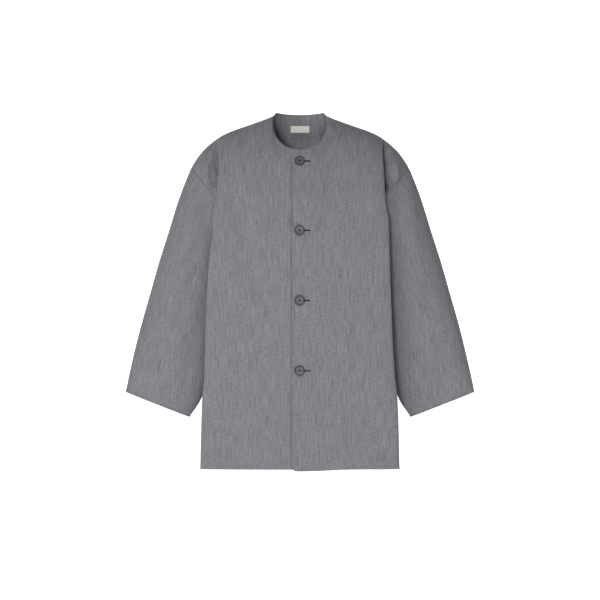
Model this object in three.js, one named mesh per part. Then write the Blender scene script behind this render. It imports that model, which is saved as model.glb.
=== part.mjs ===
// A collarless sport jacket with drop shoulders, worn and buttoned, as the cut pieces that a tailor sews.
// Millimetres, +Z up. The front faces -Y and the wearer's left is +X. The origin is the middle of the neck,
// level with the top of the back neck and in the plane of the shoulder seams. "down" is a distance below it,
// "out" a distance from the middle of the body towards an arm, and "depth" a distance forward or back.
import * as THREE from "three";

// Cloth and seams
const CLOTH_WALL = 1.6;
const SEAM_GAP = 0.3;
const RIGHT_ARM = -1;
const LEFT_ARM = 1;
const FRONT = -1;
const BACK = 1;

// Neckline
const NECK_HALF_WIDTH = 60.5;
const NECK_POINT_DOWN = 9;
const NECK_FRONT_DROP = 74;
const NECK_FRONT_DEPTH = 70;
const NECK_BACK_DEPTH = 62;
const NECK_BACK_RISE = 9.6;
const NECK_BACK_RISE_TURN = 0.45;
const NECK_ROUNDNESS = 0.78;

// The shoulder line seen from the front, from the neck point to the top of the dropped armhole
const SHOULDER = [
  { out: 60.5, down: 9 },
  { out: 70, down: 11.5 },
  { out: 106, down: 24.2 },
  { out: 158, down: 44 },
  { out: 194, down: 63.8 },
  { out: 211, down: 81.4 },
  { out: 231, down: 107.8 },
  { out: 242, down: 119 },
];

// Where each control column of a panel starts on the shoulder line. The first is the neckline's own middle.
const SHOULDER_STOPS = { neck: 60.5, chest: 118, edge: 163, fold: 183, dip: 199, seam: 242 };

// How the front and the back leave their top edge at each control column: how steeply they fall, in degrees,
// and how far they keep that slope, as a share of the yoke's length.
const YOKE_SLOPES = [
  { column: 0, frontSlope: 60, frontReach: 1, backSlope: 44, backReach: 1 },
  { column: 0.5, frontSlope: 46, frontReach: 1, backSlope: 38, backReach: 1.1 },
  { column: 1, frontSlope: 34, frontReach: 1, backSlope: 4, backReach: 1.45 },
  { column: 2, frontSlope: 18, frontReach: 1, backSlope: 8, backReach: 1.2 },
  { column: 3, frontSlope: 6, frontReach: 1, backSlope: 2, backReach: 1 },
  { column: 6, frontSlope: 0, frontReach: 1, backSlope: 0, backReach: 1 },
];

// Half-sections below the yoke, a row for each level. centre is the depth of the middle, and edge that of the
// last flat point before the drape fold. rightFold and leftFold are how far out the fold's crest lies at each
// arm, and fold is its depth. dipOut and dip are the place of the hollow behind it, where the sleeve hangs.
const FRONT_LEVELS = [
  { down: 150, centre: 98, edge: 86, rightFold: 182.6, leftFold: 188.2, fold: 75, dipOut: 194, dip: 62 },
  { down: 184, centre: 107, edge: 95, rightFold: 183.9, leftFold: 189.3, fold: 83, dipOut: 187, dip: 70 },
  { down: 222, centre: 113, edge: 101, rightFold: 186, leftFold: 190.6, fold: 89, dipOut: 178, dip: 72 },
  { down: 262, centre: 117, edge: 105, rightFold: 188.2, leftFold: 191.7, fold: 93, dipOut: 170, dip: 70 },
  { down: 300, centre: 119, edge: 107, rightFold: 194, leftFold: 192.8, fold: 95, dipOut: 166, dip: 64 },
  { down: 357, centre: 121, edge: 109, rightFold: 198.7, leftFold: 194.6, fold: 96, dipOut: 165, dip: 56 },
  { down: 465, centre: 122, edge: 110, rightFold: 203.7, leftFold: 198.4, fold: 97, dipOut: 170, dip: 52 },
  { down: 573, centre: 121, edge: 110, rightFold: 206.1, leftFold: 204, fold: 97, dipOut: 184, dip: 50 },
  { down: 625, centre: 121, edge: 109, rightFold: 210.5, leftFold: 209.4, fold: 97, dipOut: 197, dip: 48 },
  { down: 776, centre: 120, edge: 108, rightFold: 213.7, leftFold: 213.7, fold: 97, dipOut: 208.5, dip: 48 },
];
const BACK_LEVELS = [
  { down: 150, centre: 104, edge: 88, rightFold: 178, leftFold: 178, fold: 75, dipOut: 193, dip: 65 },
  { down: 184, centre: 108, edge: 93, rightFold: 180, leftFold: 180, fold: 81, dipOut: 186, dip: 72 },
  { down: 222, centre: 110, edge: 96, rightFold: 183, leftFold: 183, fold: 85, dipOut: 178, dip: 74 },
  { down: 262, centre: 111, edge: 97, rightFold: 185, leftFold: 186, fold: 87, dipOut: 170, dip: 71 },
  { down: 300, centre: 111, edge: 97, rightFold: 187, leftFold: 189, fold: 88, dipOut: 166, dip: 64 },
  { down: 357, centre: 110, edge: 96, rightFold: 189, leftFold: 192, fold: 87, dipOut: 165, dip: 56 },
  { down: 465, centre: 109, edge: 95, rightFold: 194, leftFold: 195, fold: 85, dipOut: 170, dip: 52 },
  { down: 573, centre: 109, edge: 95, rightFold: 200, leftFold: 199, fold: 85, dipOut: 184, dip: 50 },
  { down: 625, centre: 109, edge: 95, rightFold: 204, leftFold: 203, fold: 86, dipOut: 197, dip: 48 },
  { down: 776, centre: 111, edge: 97, rightFold: 210, leftFold: 210, fold: 88, dipOut: 208.5, dip: 48 },
];
const EDGE_INSET = 18;
const CHEST_SHARE = 0.66;
const CROWN_POWER = 2.2;
const YOKE_DOWN = 150;
const HEM_DOWN = 776;

// The seam at each level: the armhole as far as the underarm, and the side seam from there on.
// seamDown is the seam's own height, which the armhole's round lower end draws away from the level.
const UNDERARM_DOWN = 300;
const SEAM_LEVELS = [
  { down: 150, out: 216, seamDown: 150, depth: 45 },
  { down: 184, out: 189, seamDown: 184, depth: 60 },
  { down: 222, out: 172, seamDown: 222, depth: 63 },
  { down: 262, out: 161, seamDown: 266, depth: 50 },
  { down: 285, out: 157, seamDown: 291, depth: 27 },
  { down: 300, out: 156, seamDown: 300, depth: 0 },
  { down: 357, out: 157, seamDown: 357, depth: 0 },
  { down: 465, out: 163, seamDown: 465, depth: 0 },
  { down: 573, out: 180, seamDown: 573, depth: 0 },
  { down: 625, out: 193, seamDown: 625, depth: 0 },
  { down: 776, out: 207.5, seamDown: 776, depth: 0 },
];

// The sleeve as rings from the armhole to the cuff: the outer and the inner point of each ring, half of its
// depth from front to back, and how far forward its middle lies.
const SLEEVE_RINGS = [
  { along: 0, outerOut: 242, outerDown: 119, innerOut: 156, innerDown: 300, half: 62, forward: 0 },
  { along: 0.08, outerOut: 253, outerDown: 154, innerOut: 164, innerDown: 316, half: 63, forward: 0 },
  { along: 0.16, outerOut: 266, outerDown: 189, innerOut: 169, innerDown: 336, half: 63, forward: 0 },
  { along: 0.3, outerOut: 288, outerDown: 260, innerOut: 173, innerDown: 376, half: 62, forward: 1 },
  { along: 0.44, outerOut: 310, outerDown: 330, innerOut: 176, innerDown: 418, half: 60, forward: 3 },
  { along: 0.58, outerOut: 330, outerDown: 400, innerOut: 181, innerDown: 465, half: 55, forward: 5 },
  { along: 0.72, outerOut: 350, outerDown: 471, innerOut: 189, innerDown: 520, half: 47, forward: 7 },
  { along: 0.86, outerOut: 367, outerDown: 541, innerOut: 202, innerDown: 583, half: 37, forward: 9 },
  { along: 0.94, outerOut: 376, outerDown: 580, innerOut: 219, innerDown: 631, half: 29, forward: 10 },
  { along: 1, outerOut: 382.5, outerDown: 612.5, innerOut: 242.8, innerDown: 667.5, half: 22, forward: 11 },
];
const SLEEVE_RING_COUNT = 17;
const SLEEVE_RING_SPACING = 1.15;
const SLEEVE_ROUNDNESS = 0.86;
const ARMHOLE_FADE = 0.22;
// The cosine of the sharpest bend at which a sleeve and a panel still share one slant along their seam
const SEAM_BEND_LIMIT = 0.2;

// The largest soft folds of the body, as long hollows: both ends, how deep each is and how wide. They fade
// over a share of their length at both ends, and towards the drape fold.
const SOFT_FOLDS = [
  { piece: "front_right", out: 150, down: 110, endOut: 92, endDown: 440, deep: 4, wide: 22 },
  { piece: "front_right", out: 148, down: 560, endOut: 150, endDown: 790, deep: 3.5, wide: 24 },
  { piece: "front_left", out: 82, down: 60, endOut: 62, endDown: 220, deep: 3, wide: 20 },
  { piece: "front_left", out: 200, down: 700, endOut: 120, endDown: 800, deep: 3.5, wide: 20 },
  { piece: "back_right", out: 128, down: 130, endOut: 150, endDown: 520, deep: 4, wide: 24 },
  { piece: "back_left", out: 112, down: 150, endOut: 140, endDown: 600, deep: 4, wide: 26 },
];
const FOLD_END_SHARE = 0.3;
const FOLD_LAST_COLUMN = 4.5;
const FOLD_FADE_COLUMNS = 1.5;

// Closure, buttons and label
const CLOSURE_OVERLAP = 16.5;
const LAP_LIFT = CLOTH_WALL + 0.45;
const LAP_FADE_START = 22;
const LAP_FADE_END = 75;
const LAP_HEM_DROP = 3.5;
const LAP_HEM_DROP_REACH = 120;
const BUTTON_COUNT = 4;
const FIRST_BUTTON_DOWN = 111;
const BUTTON_PITCH = 150.8;
const BUTTON_DIAMETER = 22.4;
const BUTTON_THICKNESS = 3;
const BUTTON_HOLE_DIAMETER = 2;
const BUTTON_HOLE_SPACING = 4.4;
const BUTTON_LIFT = 0.5;
const BUTTON_BEVEL = 0.8;
const BUTTON_SIDES = 14;
const HOLE_SIDES = 10;
const LABEL_WIDTH = 42;
const LABEL_HEIGHT = 15;
const LABEL_TOP_DOWN = 24;
const LABEL_WALL = 0.6;
const LABEL_LIFT = 0.5;

// Grid of each panel: steps between its control columns, and steps down the yoke, the armhole and the sides
const COLUMN_STEPS = [4, 3, 3, 3, 3, 3];
const YOKE_STEPS = 6;
const ARMHOLE_STEPS = 6;
const SIDE_STEPS = 10;
const TANGENT_STEP = 10;
const HALVINGS = 30;

const finish = (color, roughness) => new THREE.MeshStandardMaterial({ color, roughness, metalness: 0 });
const clothMaterial = () => finish(0x828287, 0.92);
const buttonMaterial = () => finish(0x5a5758, 0.45);
const labelMaterial = () => finish(0xe6dfcd, 0.8);

const smooth = (t) => {
  const held = Math.min(1, Math.max(0, t));
  return held * held * (3 - 2 * held);
};

// Reads a column of a table at a place between its rows, on a smooth curve that never overshoots them.
function read(rows, along, column, at) {
  const last = rows.length - 1;
  const held = Math.min(rows[last][along], Math.max(rows[0][along], at));
  const rise = (i) => (rows[i + 1][column] - rows[i][column]) / (rows[i + 1][along] - rows[i][along]);
  const slope = (i) => {
    if (i === 0) return rise(0);
    if (i === last) return rise(last - 1);
    const both = rise(i - 1) * rise(i);
    return both <= 0 ? 0 : (2 * both) / (rise(i - 1) + rise(i));
  };
  let i = 0;
  while (i < last - 1 && held > rows[i + 1][along]) i += 1;
  const gap = rows[i + 1][along] - rows[i][along];
  const t = (held - rows[i][along]) / gap;
  const start = rows[i][column] * (1 + 2 * t) * (1 - t) ** 2 + slope(i) * gap * t * (1 - t) ** 2;
  return start + rows[i + 1][column] * t * t * (3 - 2 * t) - slope(i + 1) * gap * t * t * (1 - t);
}

// The neckline's edge: turn is 0 at the neck point on the shoulder and 1 at the middle of the front or back.
// The front of it lies in one slanting plane, and the back rises to the level of the origin.
function neckline(face, arm, turn) {
  const angle = (turn * Math.PI) / 2;
  const out = NECK_HALF_WIDTH * Math.cos(angle);
  const run = Math.sin(angle) ** NECK_ROUNDNESS;
  const rise = NECK_BACK_RISE * smooth(turn / NECK_BACK_RISE_TURN);
  if (face === BACK) return new THREE.Vector3(arm * out, NECK_BACK_DEPTH * run, rise - NECK_POINT_DOWN);
  return new THREE.Vector3(arm * out, -NECK_FRONT_DEPTH * run, -NECK_POINT_DOWN - NECK_FRONT_DROP * run);
}

// Control points of the half-section at a level: the middle, the column under the neck point, the chest,
// the flat's edge, the crest of the drape fold, the hollow behind it and the seam.
function sectionPoints(face, arm, down) {
  const levels = face === FRONT ? FRONT_LEVELS : BACK_LEVELS;
  const level = (column) => read(levels, "down", column, down);
  const foldOut = level(arm === RIGHT_ARM ? "rightFold" : "leftFold");
  const edgeOut = foldOut - EDGE_INSET;
  const crown = (share) => level("centre") - (level("centre") - level("edge")) * share ** CROWN_POWER;
  const neckShare = SHOULDER_STOPS.neck / SHOULDER_STOPS.edge;
  const seam = (column) => read(SEAM_LEVELS, "down", column, down);
  const at = (out, depth, pointDown = down) => new THREE.Vector3(arm * out, face * depth, -pointDown);
  return [
    at(0, crown(0)),
    at(edgeOut * neckShare, crown(neckShare)),
    at(edgeOut * CHEST_SHARE, crown(CHEST_SHARE)),
    at(edgeOut, crown(1)),
    at(foldOut, level("fold")),
    at(level("dipOut"), level("dip")),
    at(seam("out"), seam("depth"), seam("seamDown")),
  ];
}

// A point of the section at a level, where column runs from 0 in the middle to 6 at the seam.
function sectionPoint(face, arm, column, down) {
  const points = sectionPoints(face, arm, down);
  const curve = new THREE.CatmullRomCurve3(points, false, "centripetal");
  return curve.getPoint(column / (points.length - 1));
}

// The top edge of a panel: the neckline up to column 1, then the shoulder seam.
function topPoint(face, arm, column) {
  if (column <= 1) return neckline(face, arm, 1 - column);
  const stops = Object.values(SHOULDER_STOPS);
  const i = Math.min(stops.length - 2, Math.floor(column) - 1);
  const out = stops[i] + (stops[i + 1] - stops[i]) * (column - 1 - i);
  return new THREE.Vector3(arm * out, 0, -read(SHOULDER, "out", "down", out));
}

// A point of the yoke, where fall runs from 0 at the top edge to 1 at the first full section.
function yokePoint(face, arm, column, fall) {
  const top = topPoint(face, arm, column);
  const foot = sectionPoint(face, arm, column, YOKE_DOWN);
  const below = sectionPoint(face, arm, column, YOKE_DOWN + TANGENT_STEP);
  const length = foot.distanceTo(top);
  const side = face === FRONT ? "front" : "back";
  const slope = (read(YOKE_SLOPES, "column", side + "Slope", column) * Math.PI) / 180;
  const reach = length * read(YOKE_SLOPES, "column", side + "Reach", column);
  const leave = new THREE.Vector3(0, face * Math.cos(slope), -Math.sin(slope)).multiplyScalar(reach);
  const arrive = below.sub(foot).normalize().multiplyScalar(length);
  const t = fall;
  return new THREE.Vector3()
    .addScaledVector(top, (1 + 2 * t) * (1 - t) ** 2)
    .addScaledVector(leave, t * (1 - t) ** 2)
    .addScaledVector(foot, t * t * (3 - 2 * t))
    .addScaledVector(arrive, -t * t * (1 - t));
}

// A point of the body, where fall runs from 0 to 1 over the yoke, to 2 at the underarm and to 3 at the hem.
function bodyPoint(face, arm, column, fall) {
  if (fall <= 1) return yokePoint(face, arm, column, fall);
  const down =
    fall <= 2
      ? YOKE_DOWN + (UNDERARM_DOWN - YOKE_DOWN) * (fall - 1)
      : UNDERARM_DOWN + (HEM_DOWN - UNDERARM_DOWN) * (fall - 2);
  return sectionPoint(face, arm, column, down);
}

const stretch = (start, steps) => Array.from({ length: steps }, (_, k) => start + k / steps);

const columnList = () => [...COLUMN_STEPS.flatMap((steps, i) => stretch(i, steps)), COLUMN_STEPS.length];

const fallList = () => [...stretch(0, YOKE_STEPS), ...stretch(1, ARMHOLE_STEPS), ...stretch(2, SIDE_STEPS), 3];

// Where a panel's row of points passes from the neckline to the shoulder seam.
const neckIndex = (row) => row.length - 1 - COLUMN_STEPS.slice(1).reduce((sum, steps) => sum + steps, 0);

// Outward unit normals of a grid of points. A ring closes on itself around the second index.
function gridNormals(grid, turned, ring = false) {
  const rows = grid.length;
  return grid.map((row, i) =>
    row.map((_, j) => {
      const count = row.length;
      const before = ring ? (j + count - 1) % count : Math.max(0, j - 1);
      const after = ring ? (j + 1) % count : Math.min(count - 1, j + 1);
      const across = row[after].clone().sub(row[before]);
      const along = grid[Math.min(rows - 1, i + 1)][j].clone().sub(grid[Math.max(0, i - 1)][j]);
      return across.cross(along).normalize().multiplyScalar(turned ? 1 : -1);
    }),
  );
}

// The hollow that one soft fold presses into the cloth at a point, fading at both of its ends.
function foldDepth(fold, point) {
  const start = new THREE.Vector2(fold.out, -fold.down);
  const run = new THREE.Vector2(fold.endOut, -fold.endDown).sub(start);
  const from = new THREE.Vector2(Math.abs(point.x), point.z).sub(start);
  const share = from.dot(run) / run.lengthSq();
  const aside = Math.abs(from.cross(run)) / run.length();
  const ends = smooth(share / FOLD_END_SHARE) * smooth((1 - share) / FOLD_END_SHARE);
  return fold.deep * ends * Math.exp(-((aside / fold.wide) ** 2));
}

function foldsAt(piece, point) {
  const folds = SOFT_FOLDS.filter((fold) => fold.piece === piece);
  return folds.reduce((sum, fold) => sum + foldDepth(fold, point), 0);
}

// How far the upper front is raised off the under front where the two lap over each other.
function lapLift(piece, point) {
  if (piece !== "front_left") return 0;
  return LAP_LIFT * (1 - smooth((point.x - LAP_FADE_START) / (LAP_FADE_END - LAP_FADE_START)));
}

// How much lower the upper front's hem hangs, most at the closure edge.
function hemDrop(piece, point) {
  if (piece !== "front_left") return 0;
  const nearEdge = smooth(1 - Math.abs(point.x) / LAP_HEM_DROP_REACH);
  return LAP_HEM_DROP * nearEdge * smooth(1 - (HEM_DOWN + point.z) / LAP_HEM_DROP_REACH);
}

// The plain points of a front or back panel, row by row.
function bodyGrid(face, arm) {
  const backRow = (fall) => columnList().map((column) => bodyPoint(BACK, arm, column, fall));
  return fallList().map((fall) => (face === FRONT ? frontRow(arm, fall) : backRow(fall)));
}

// The points of a panel on the outer face of its cloth, with its soft folds and its lap.
function panelGrid(piece, face, arm) {
  const grid = bodyGrid(face, arm);
  const normals = gridNormals(grid, face * arm > 0);
  const columns = face === FRONT ? [0, 0, ...columnList()] : columnList();
  return grid.map((row, i) =>
    row.map((point, j) => {
      const pressed = foldsAt(piece, point) * smooth((FOLD_LAST_COLUMN - columns[j]) / FOLD_FADE_COLUMNS);
      const moved = point.clone().addScaledVector(normals[i][j], lapLift(piece, point) - pressed);
      moved.z -= hemDrop(piece, point);
      return moved;
    }),
  );
}

// The point beside the middle where a front's closure edge runs, as far out as the two fronts lap.
function closurePoint(arm, fall) {
  let low = 0;
  let high = 1;
  for (let halvings = 0; halvings < HALVINGS; halvings += 1) {
    const middle = (low + high) / 2;
    if (Math.abs(bodyPoint(FRONT, arm, middle, fall).x) < CLOSURE_OVERLAP) low = middle;
    else high = middle;
  }
  return bodyPoint(FRONT, arm, low, fall);
}

// One row of a front: its lap past the middle, the middle, the same distance on its own side, and the rest.
function frontRow(arm, fall) {
  const [middle, ...rest] = columnList().map((column) => bodyPoint(FRONT, arm, column, fall));
  return [closurePoint(-arm, fall), middle, closurePoint(arm, fall), ...rest];
}

// Draws a panel's sewn edges back by half a seam gap: the shoulder and side seams from the plane between front
// and back, the centre back seam from the middle of the body, and the armhole along the cloth.
function trimmed(grid, face, arm) {
  const last = grid[0].length - 1;
  const falls = fallList();
  return grid.map((row, i) =>
    row.map((point, j) => {
      const moved = point.clone();
      const sideSeam = j === last && falls[i] >= 2;
      if (j === last && !sideSeam) {
        moved.addScaledVector(row[last - 1].clone().sub(point).normalize(), SEAM_GAP / 2);
      }
      if ((i === 0 && j >= neckIndex(row)) || sideSeam) moved.y = (face * SEAM_GAP) / 2;
      if (j === 0 && face === BACK) moved.x = (arm * SEAM_GAP) / 2;
      return moved;
    }),
  );
}

// A panel's normals, with those along its straight seams laid in the seam, so that sewn walls meet flush.
function panelNormals(grid, face, arm, armhole) {
  const last = grid[0].length - 1;
  const falls = fallList();
  return gridNormals(grid, face * arm > 0).map((row, i) =>
    row.map((normal, j) => {
      if (j === last && falls[i] < 2) return seamNormal(armhole, face, i, normal);
      if ((i === 0 && j >= neckIndex(row)) || j === last) return normal.setY(0).normalize();
      if (j === 0 && face === BACK) return normal.setX(0).normalize();
      return normal;
    }),
  );
}

// The direction halfway between a panel's normal and the sleeve's where they are sewn and bend the same way.
function seamNormal(armhole, face, row, normal) {
  const index = face === FRONT ? row : (armhole.length - row) % armhole.length;
  const sleeveNormal = armhole[index];
  return sleeveNormal.dot(normal) > SEAM_BEND_LIMIT ? sleeveNormal.clone().add(normal).normalize() : normal;
}

// A closed wall of cloth under a grid of outer points, wall thick, with square edges.
function wallGeometry(outer, normals, wall, turned, ring = false) {
  const rows = outer.length;
  const count = outer[0].length;
  const moveIn = (point, i, j) => point.clone().addScaledVector(normals[i][j], -wall);
  const inner = outer.map((row, i) => row.map((point, j) => moveIn(point, i, j)));
  const positions = [...outer.flat(), ...inner.flat()].flatMap((point) => point.toArray());
  const outerAt = (i, j) => i * count + (j % count);
  const innerAt = (i, j) => rows * count + outerAt(i, j);
  const faces = [];
  const quad = (a, b, c, d) => faces.push(...(turned ? [a, b, c, a, c, d] : [a, c, b, a, d, c]));
  const spans = ring ? count : count - 1;
  for (let i = 0; i < rows - 1; i += 1) {
    for (let j = 0; j < spans; j += 1) {
      quad(outerAt(i, j), outerAt(i, j + 1), outerAt(i + 1, j + 1), outerAt(i + 1, j));
      quad(innerAt(i, j), innerAt(i + 1, j), innerAt(i + 1, j + 1), innerAt(i, j + 1));
    }
  }
  for (let j = 0; j < spans; j += 1) {
    quad(innerAt(0, j), innerAt(0, j + 1), outerAt(0, j + 1), outerAt(0, j));
    quad(outerAt(rows - 1, j), outerAt(rows - 1, j + 1), innerAt(rows - 1, j + 1), innerAt(rows - 1, j));
  }
  for (let i = 0; i < rows - 1 && !ring; i += 1) {
    quad(outerAt(i, 0), outerAt(i + 1, 0), innerAt(i + 1, 0), innerAt(i, 0));
    quad(innerAt(i, count - 1), innerAt(i + 1, count - 1), outerAt(i + 1, count - 1), outerAt(i, count - 1));
  }
  const geometry = new THREE.BufferGeometry();
  geometry.setAttribute("position", new THREE.Float32BufferAttribute(positions, 3));
  geometry.setIndex(faces);
  geometry.computeVertexNormals();
  return geometry;
}

function namedMesh(name, geometry, material) {
  const mesh = new THREE.Mesh(geometry, material);
  mesh.name = name;
  return mesh;
}

function panel(piece, face, arm) {
  const armhole = gridNormals(sleeveGrid(arm), arm > 0, true)[0];
  const grid = trimmed(panelGrid(piece, face, arm), face, arm);
  const geometry = wallGeometry(grid, panelNormals(grid, face, arm, armhole), CLOTH_WALL, face * arm > 0);
  return namedMesh(piece, geometry, clothMaterial());
}

// The armhole as a ring of seam points: down the front from the shoulder to the underarm and up the back.
function armholeRing(arm) {
  const falls = fallList().filter((fall) => fall <= 2);
  const seam = COLUMN_STEPS.length;
  const front = falls.map((fall) => bodyPoint(FRONT, arm, seam, fall));
  const back = falls.map((fall) => bodyPoint(BACK, arm, seam, fall));
  return [...front, ...back.slice(1, -1).reverse()];
}

// A point of the sleeve's plain ring: angle 0 is its outer edge and a quarter turn is its front.
function ringPoint(arm, along, angle) {
  const size = (column) => read(SLEEVE_RINGS, "along", column, along);
  const outer = new THREE.Vector3(arm * size("outerOut"), -size("forward"), -size("outerDown"));
  const inner = new THREE.Vector3(arm * size("innerOut"), -size("forward"), -size("innerDown"));
  const rounded = (value) => Math.sign(value) * Math.abs(value) ** SLEEVE_ROUNDNESS;
  const point = inner.clone().lerp(outer, 0.5 + 0.5 * rounded(Math.cos(angle)));
  point.y -= size("half") * rounded(Math.sin(angle));
  return point;
}

// The sleeve's rings: the first is the armhole itself, whose form fades into the plain rings below it.
function sleeveGrid(arm) {
  const armhole = armholeRing(arm);
  const angle = (j) => (2 * Math.PI * j) / armhole.length;
  const rings = Array.from({ length: SLEEVE_RING_COUNT }, (_, i) => {
    const along = (i / (SLEEVE_RING_COUNT - 1)) ** SLEEVE_RING_SPACING;
    const fade = Math.max(0, 1 - along / ARMHOLE_FADE) ** 2;
    return armhole.map((seam, j) => {
      const offset = seam.clone().sub(ringPoint(arm, 0, angle(j)));
      return ringPoint(arm, along, angle(j)).addScaledVector(offset, fade);
    });
  });
  rings[0] = clearOfPanels(rings, arm);
  return rings;
}

// The sleeve's first ring, drawn off the panels by the seam gap, along the sleeve and out of their faces.
function clearOfPanels(rings, arm) {
  const count = rings[0].length;
  return rings[0].map((point, j) => {
    const along = rings[1][j].clone().sub(point).normalize();
    const outward = new THREE.Vector3(arm * Math.max(0, -Math.cos((2 * Math.PI * j) / count)), 0, 0);
    return point.clone().addScaledVector(along.add(outward).normalize(), SEAM_GAP);
  });
}

// The sleeve's first normals, halfway to the normals of the panel that each is sewn to.
function sleeveNormals(grid, arm) {
  const normals = gridNormals(grid, arm > 0, true);
  const own = normals[0].map((normal) => normal.clone());
  for (const face of [FRONT, BACK]) {
    const panelRows = gridNormals(bodyGrid(face, arm), face * arm > 0);
    for (let row = 0; fallList()[row] < 2; row += 1) {
      const index = face === FRONT ? row : (own.length - row) % own.length;
      normals[0][index] = seamNormal(own, face, row, panelRows[row].at(-1));
    }
  }
  return normals;
}

function sleeve(name, arm) {
  const grid = sleeveGrid(arm);
  const geometry = wallGeometry(grid, sleeveNormals(grid, arm), CLOTH_WALL, arm > 0, true);
  return namedMesh(name, geometry, clothMaterial());
}

// The place on a line of points where a value changes its sign.
function crossing(points, value) {
  const changes = (_, k) => k < points.length - 1 && value(points[k]) * value(points[k + 1]) <= 0;
  const i = Math.max(0, points.findIndex(changes));
  const share = value(points[i]) / (value(points[i]) - value(points[i + 1]));
  return points[i].clone().lerp(points[i + 1], share);
}

// The point of a panel at a place across and down: where its rows cross x, and those crossings the height.
function onPanel(grid, x, down) {
  const crossings = grid.map((row) => crossing(row, (point) => point.x - x));
  return crossing(crossings, (point) => point.z + down);
}

// A small round hole's outline, for a shape to leave out.
function holePath(x, y) {
  const centre = new THREE.Vector2(x, y);
  const corners = Array.from({ length: HOLE_SIDES }, (_, k) => {
    const arm = new THREE.Vector2(BUTTON_HOLE_DIAMETER / 2, 0);
    return arm.rotateAround(new THREE.Vector2(), (-2 * Math.PI * k) / HOLE_SIDES).add(centre);
  });
  return new THREE.Path(corners);
}

// A button with two holes, one over the other, laid on the upper front and square to it.
function button(index, grid) {
  const down = FIRST_BUTTON_DOWN + index * BUTTON_PITCH;
  const shape = new THREE.Shape().absarc(0, 0, BUTTON_DIAMETER / 2 - BUTTON_BEVEL, 0, 2 * Math.PI);
  shape.holes = [holePath(0, BUTTON_HOLE_SPACING / 2), holePath(0, -BUTTON_HOLE_SPACING / 2)];
  const geometry = new THREE.ExtrudeGeometry(shape, {
    depth: BUTTON_THICKNESS - 2 * BUTTON_BEVEL,
    bevelThickness: BUTTON_BEVEL,
    bevelSize: BUTTON_BEVEL,
    bevelSegments: 1,
    curveSegments: BUTTON_SIDES,
  });
  geometry.translate(0, 0, BUTTON_BEVEL);
  const reach = BUTTON_DIAMETER / 2;
  const slope = onPanel(grid, 0, down + reach).sub(onPanel(grid, 0, down - reach));
  const outward = new THREE.Vector3(0, slope.z, -slope.y).normalize();
  const mesh = namedMesh(`button_${index + 1}`, geometry, buttonMaterial());
  mesh.quaternion.setFromUnitVectors(new THREE.Vector3(0, 0, 1), outward);
  mesh.position.copy(onPanel(grid, 0, down)).addScaledVector(outward, BUTTON_LIFT);
  return mesh;
}

// The bare woven label, laid on the inner face of the two backs under the neckline.
function label() {
  const rightBack = panelGrid("back_right", BACK, RIGHT_ARM);
  const leftBack = panelGrid("back_left", BACK, LEFT_ARM);
  const across = [-1, -0.5, 0, 0.5, 1].map((share) => (share * LABEL_WIDTH) / 2);
  const downs = [0, 0.5, 1].map((share) => LABEL_TOP_DOWN + share * LABEL_HEIGHT);
  const grid = downs.map((down) => across.map((x) => onPanel(x < 0 ? rightBack : leftBack, x, down)));
  const normals = gridNormals(grid, true);
  const face = grid.map((row, i) =>
    row.map((point, j) => point.clone().addScaledVector(normals[i][j], -CLOTH_WALL - LABEL_LIFT)),
  );
  return namedMesh("label", wallGeometry(face, normals, LABEL_WALL, true), labelMaterial());
}

const jacket = new THREE.Group();
jacket.name = "collarless_jacket";
jacket.add(panel("front_right", FRONT, RIGHT_ARM));
jacket.add(panel("front_left", FRONT, LEFT_ARM));
jacket.add(panel("back_right", BACK, RIGHT_ARM));
jacket.add(panel("back_left", BACK, LEFT_ARM));
jacket.add(sleeve("sleeve_right", RIGHT_ARM));
jacket.add(sleeve("sleeve_left", LEFT_ARM));
const upperFront = panelGrid("front_left", FRONT, LEFT_ARM);
for (let index = 0; index < BUTTON_COUNT; index += 1) jacket.add(button(index, upperFront));
jacket.add(label());

export default jacket;
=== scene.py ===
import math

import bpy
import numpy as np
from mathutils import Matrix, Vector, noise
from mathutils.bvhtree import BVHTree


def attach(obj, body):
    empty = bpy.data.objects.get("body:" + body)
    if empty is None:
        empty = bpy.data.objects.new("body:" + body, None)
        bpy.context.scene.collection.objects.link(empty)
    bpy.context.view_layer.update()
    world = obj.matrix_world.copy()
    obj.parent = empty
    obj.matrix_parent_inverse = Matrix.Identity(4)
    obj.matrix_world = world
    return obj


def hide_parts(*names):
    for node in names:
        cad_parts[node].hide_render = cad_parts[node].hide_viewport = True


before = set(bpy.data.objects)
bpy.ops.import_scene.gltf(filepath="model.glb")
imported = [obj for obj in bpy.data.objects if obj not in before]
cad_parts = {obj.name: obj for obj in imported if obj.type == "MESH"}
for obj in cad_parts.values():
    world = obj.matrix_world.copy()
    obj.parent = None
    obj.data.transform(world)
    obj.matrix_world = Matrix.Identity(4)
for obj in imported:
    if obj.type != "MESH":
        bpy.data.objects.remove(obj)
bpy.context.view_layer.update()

# A collarless sport jacket in grey melange cloth, filled out as it is worn, and buttoned.
# Metres, +Z up. The front faces -Y, and the left arm, as it is worn, is on +X. "down" is a distance below the
# frame's origin at the neck, "out" a distance from the middle of the body towards an arm, and "depth" one
# forward on the front and back on the back.

# The cloth's thickness, how far the pieces are pressed together at a seam, and the signs of arms and faces
CLOTH_WALL = 0.0016
SEAM_PRESS = 0.0001
RIGHT_ARM = -1
LEFT_ARM = 1
FRONT = -1
BACK = 1

# Neckline
NECK_HALF_WIDTH = 0.0605
NECK_POINT_DOWN = 0.0072
NECK_FRONT_DROP = 0.0785
NECK_FRONT_DEPTH = 0.070
NECK_BACK_DEPTH = 0.062
NECK_ROUNDNESS = 0.78

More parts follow.
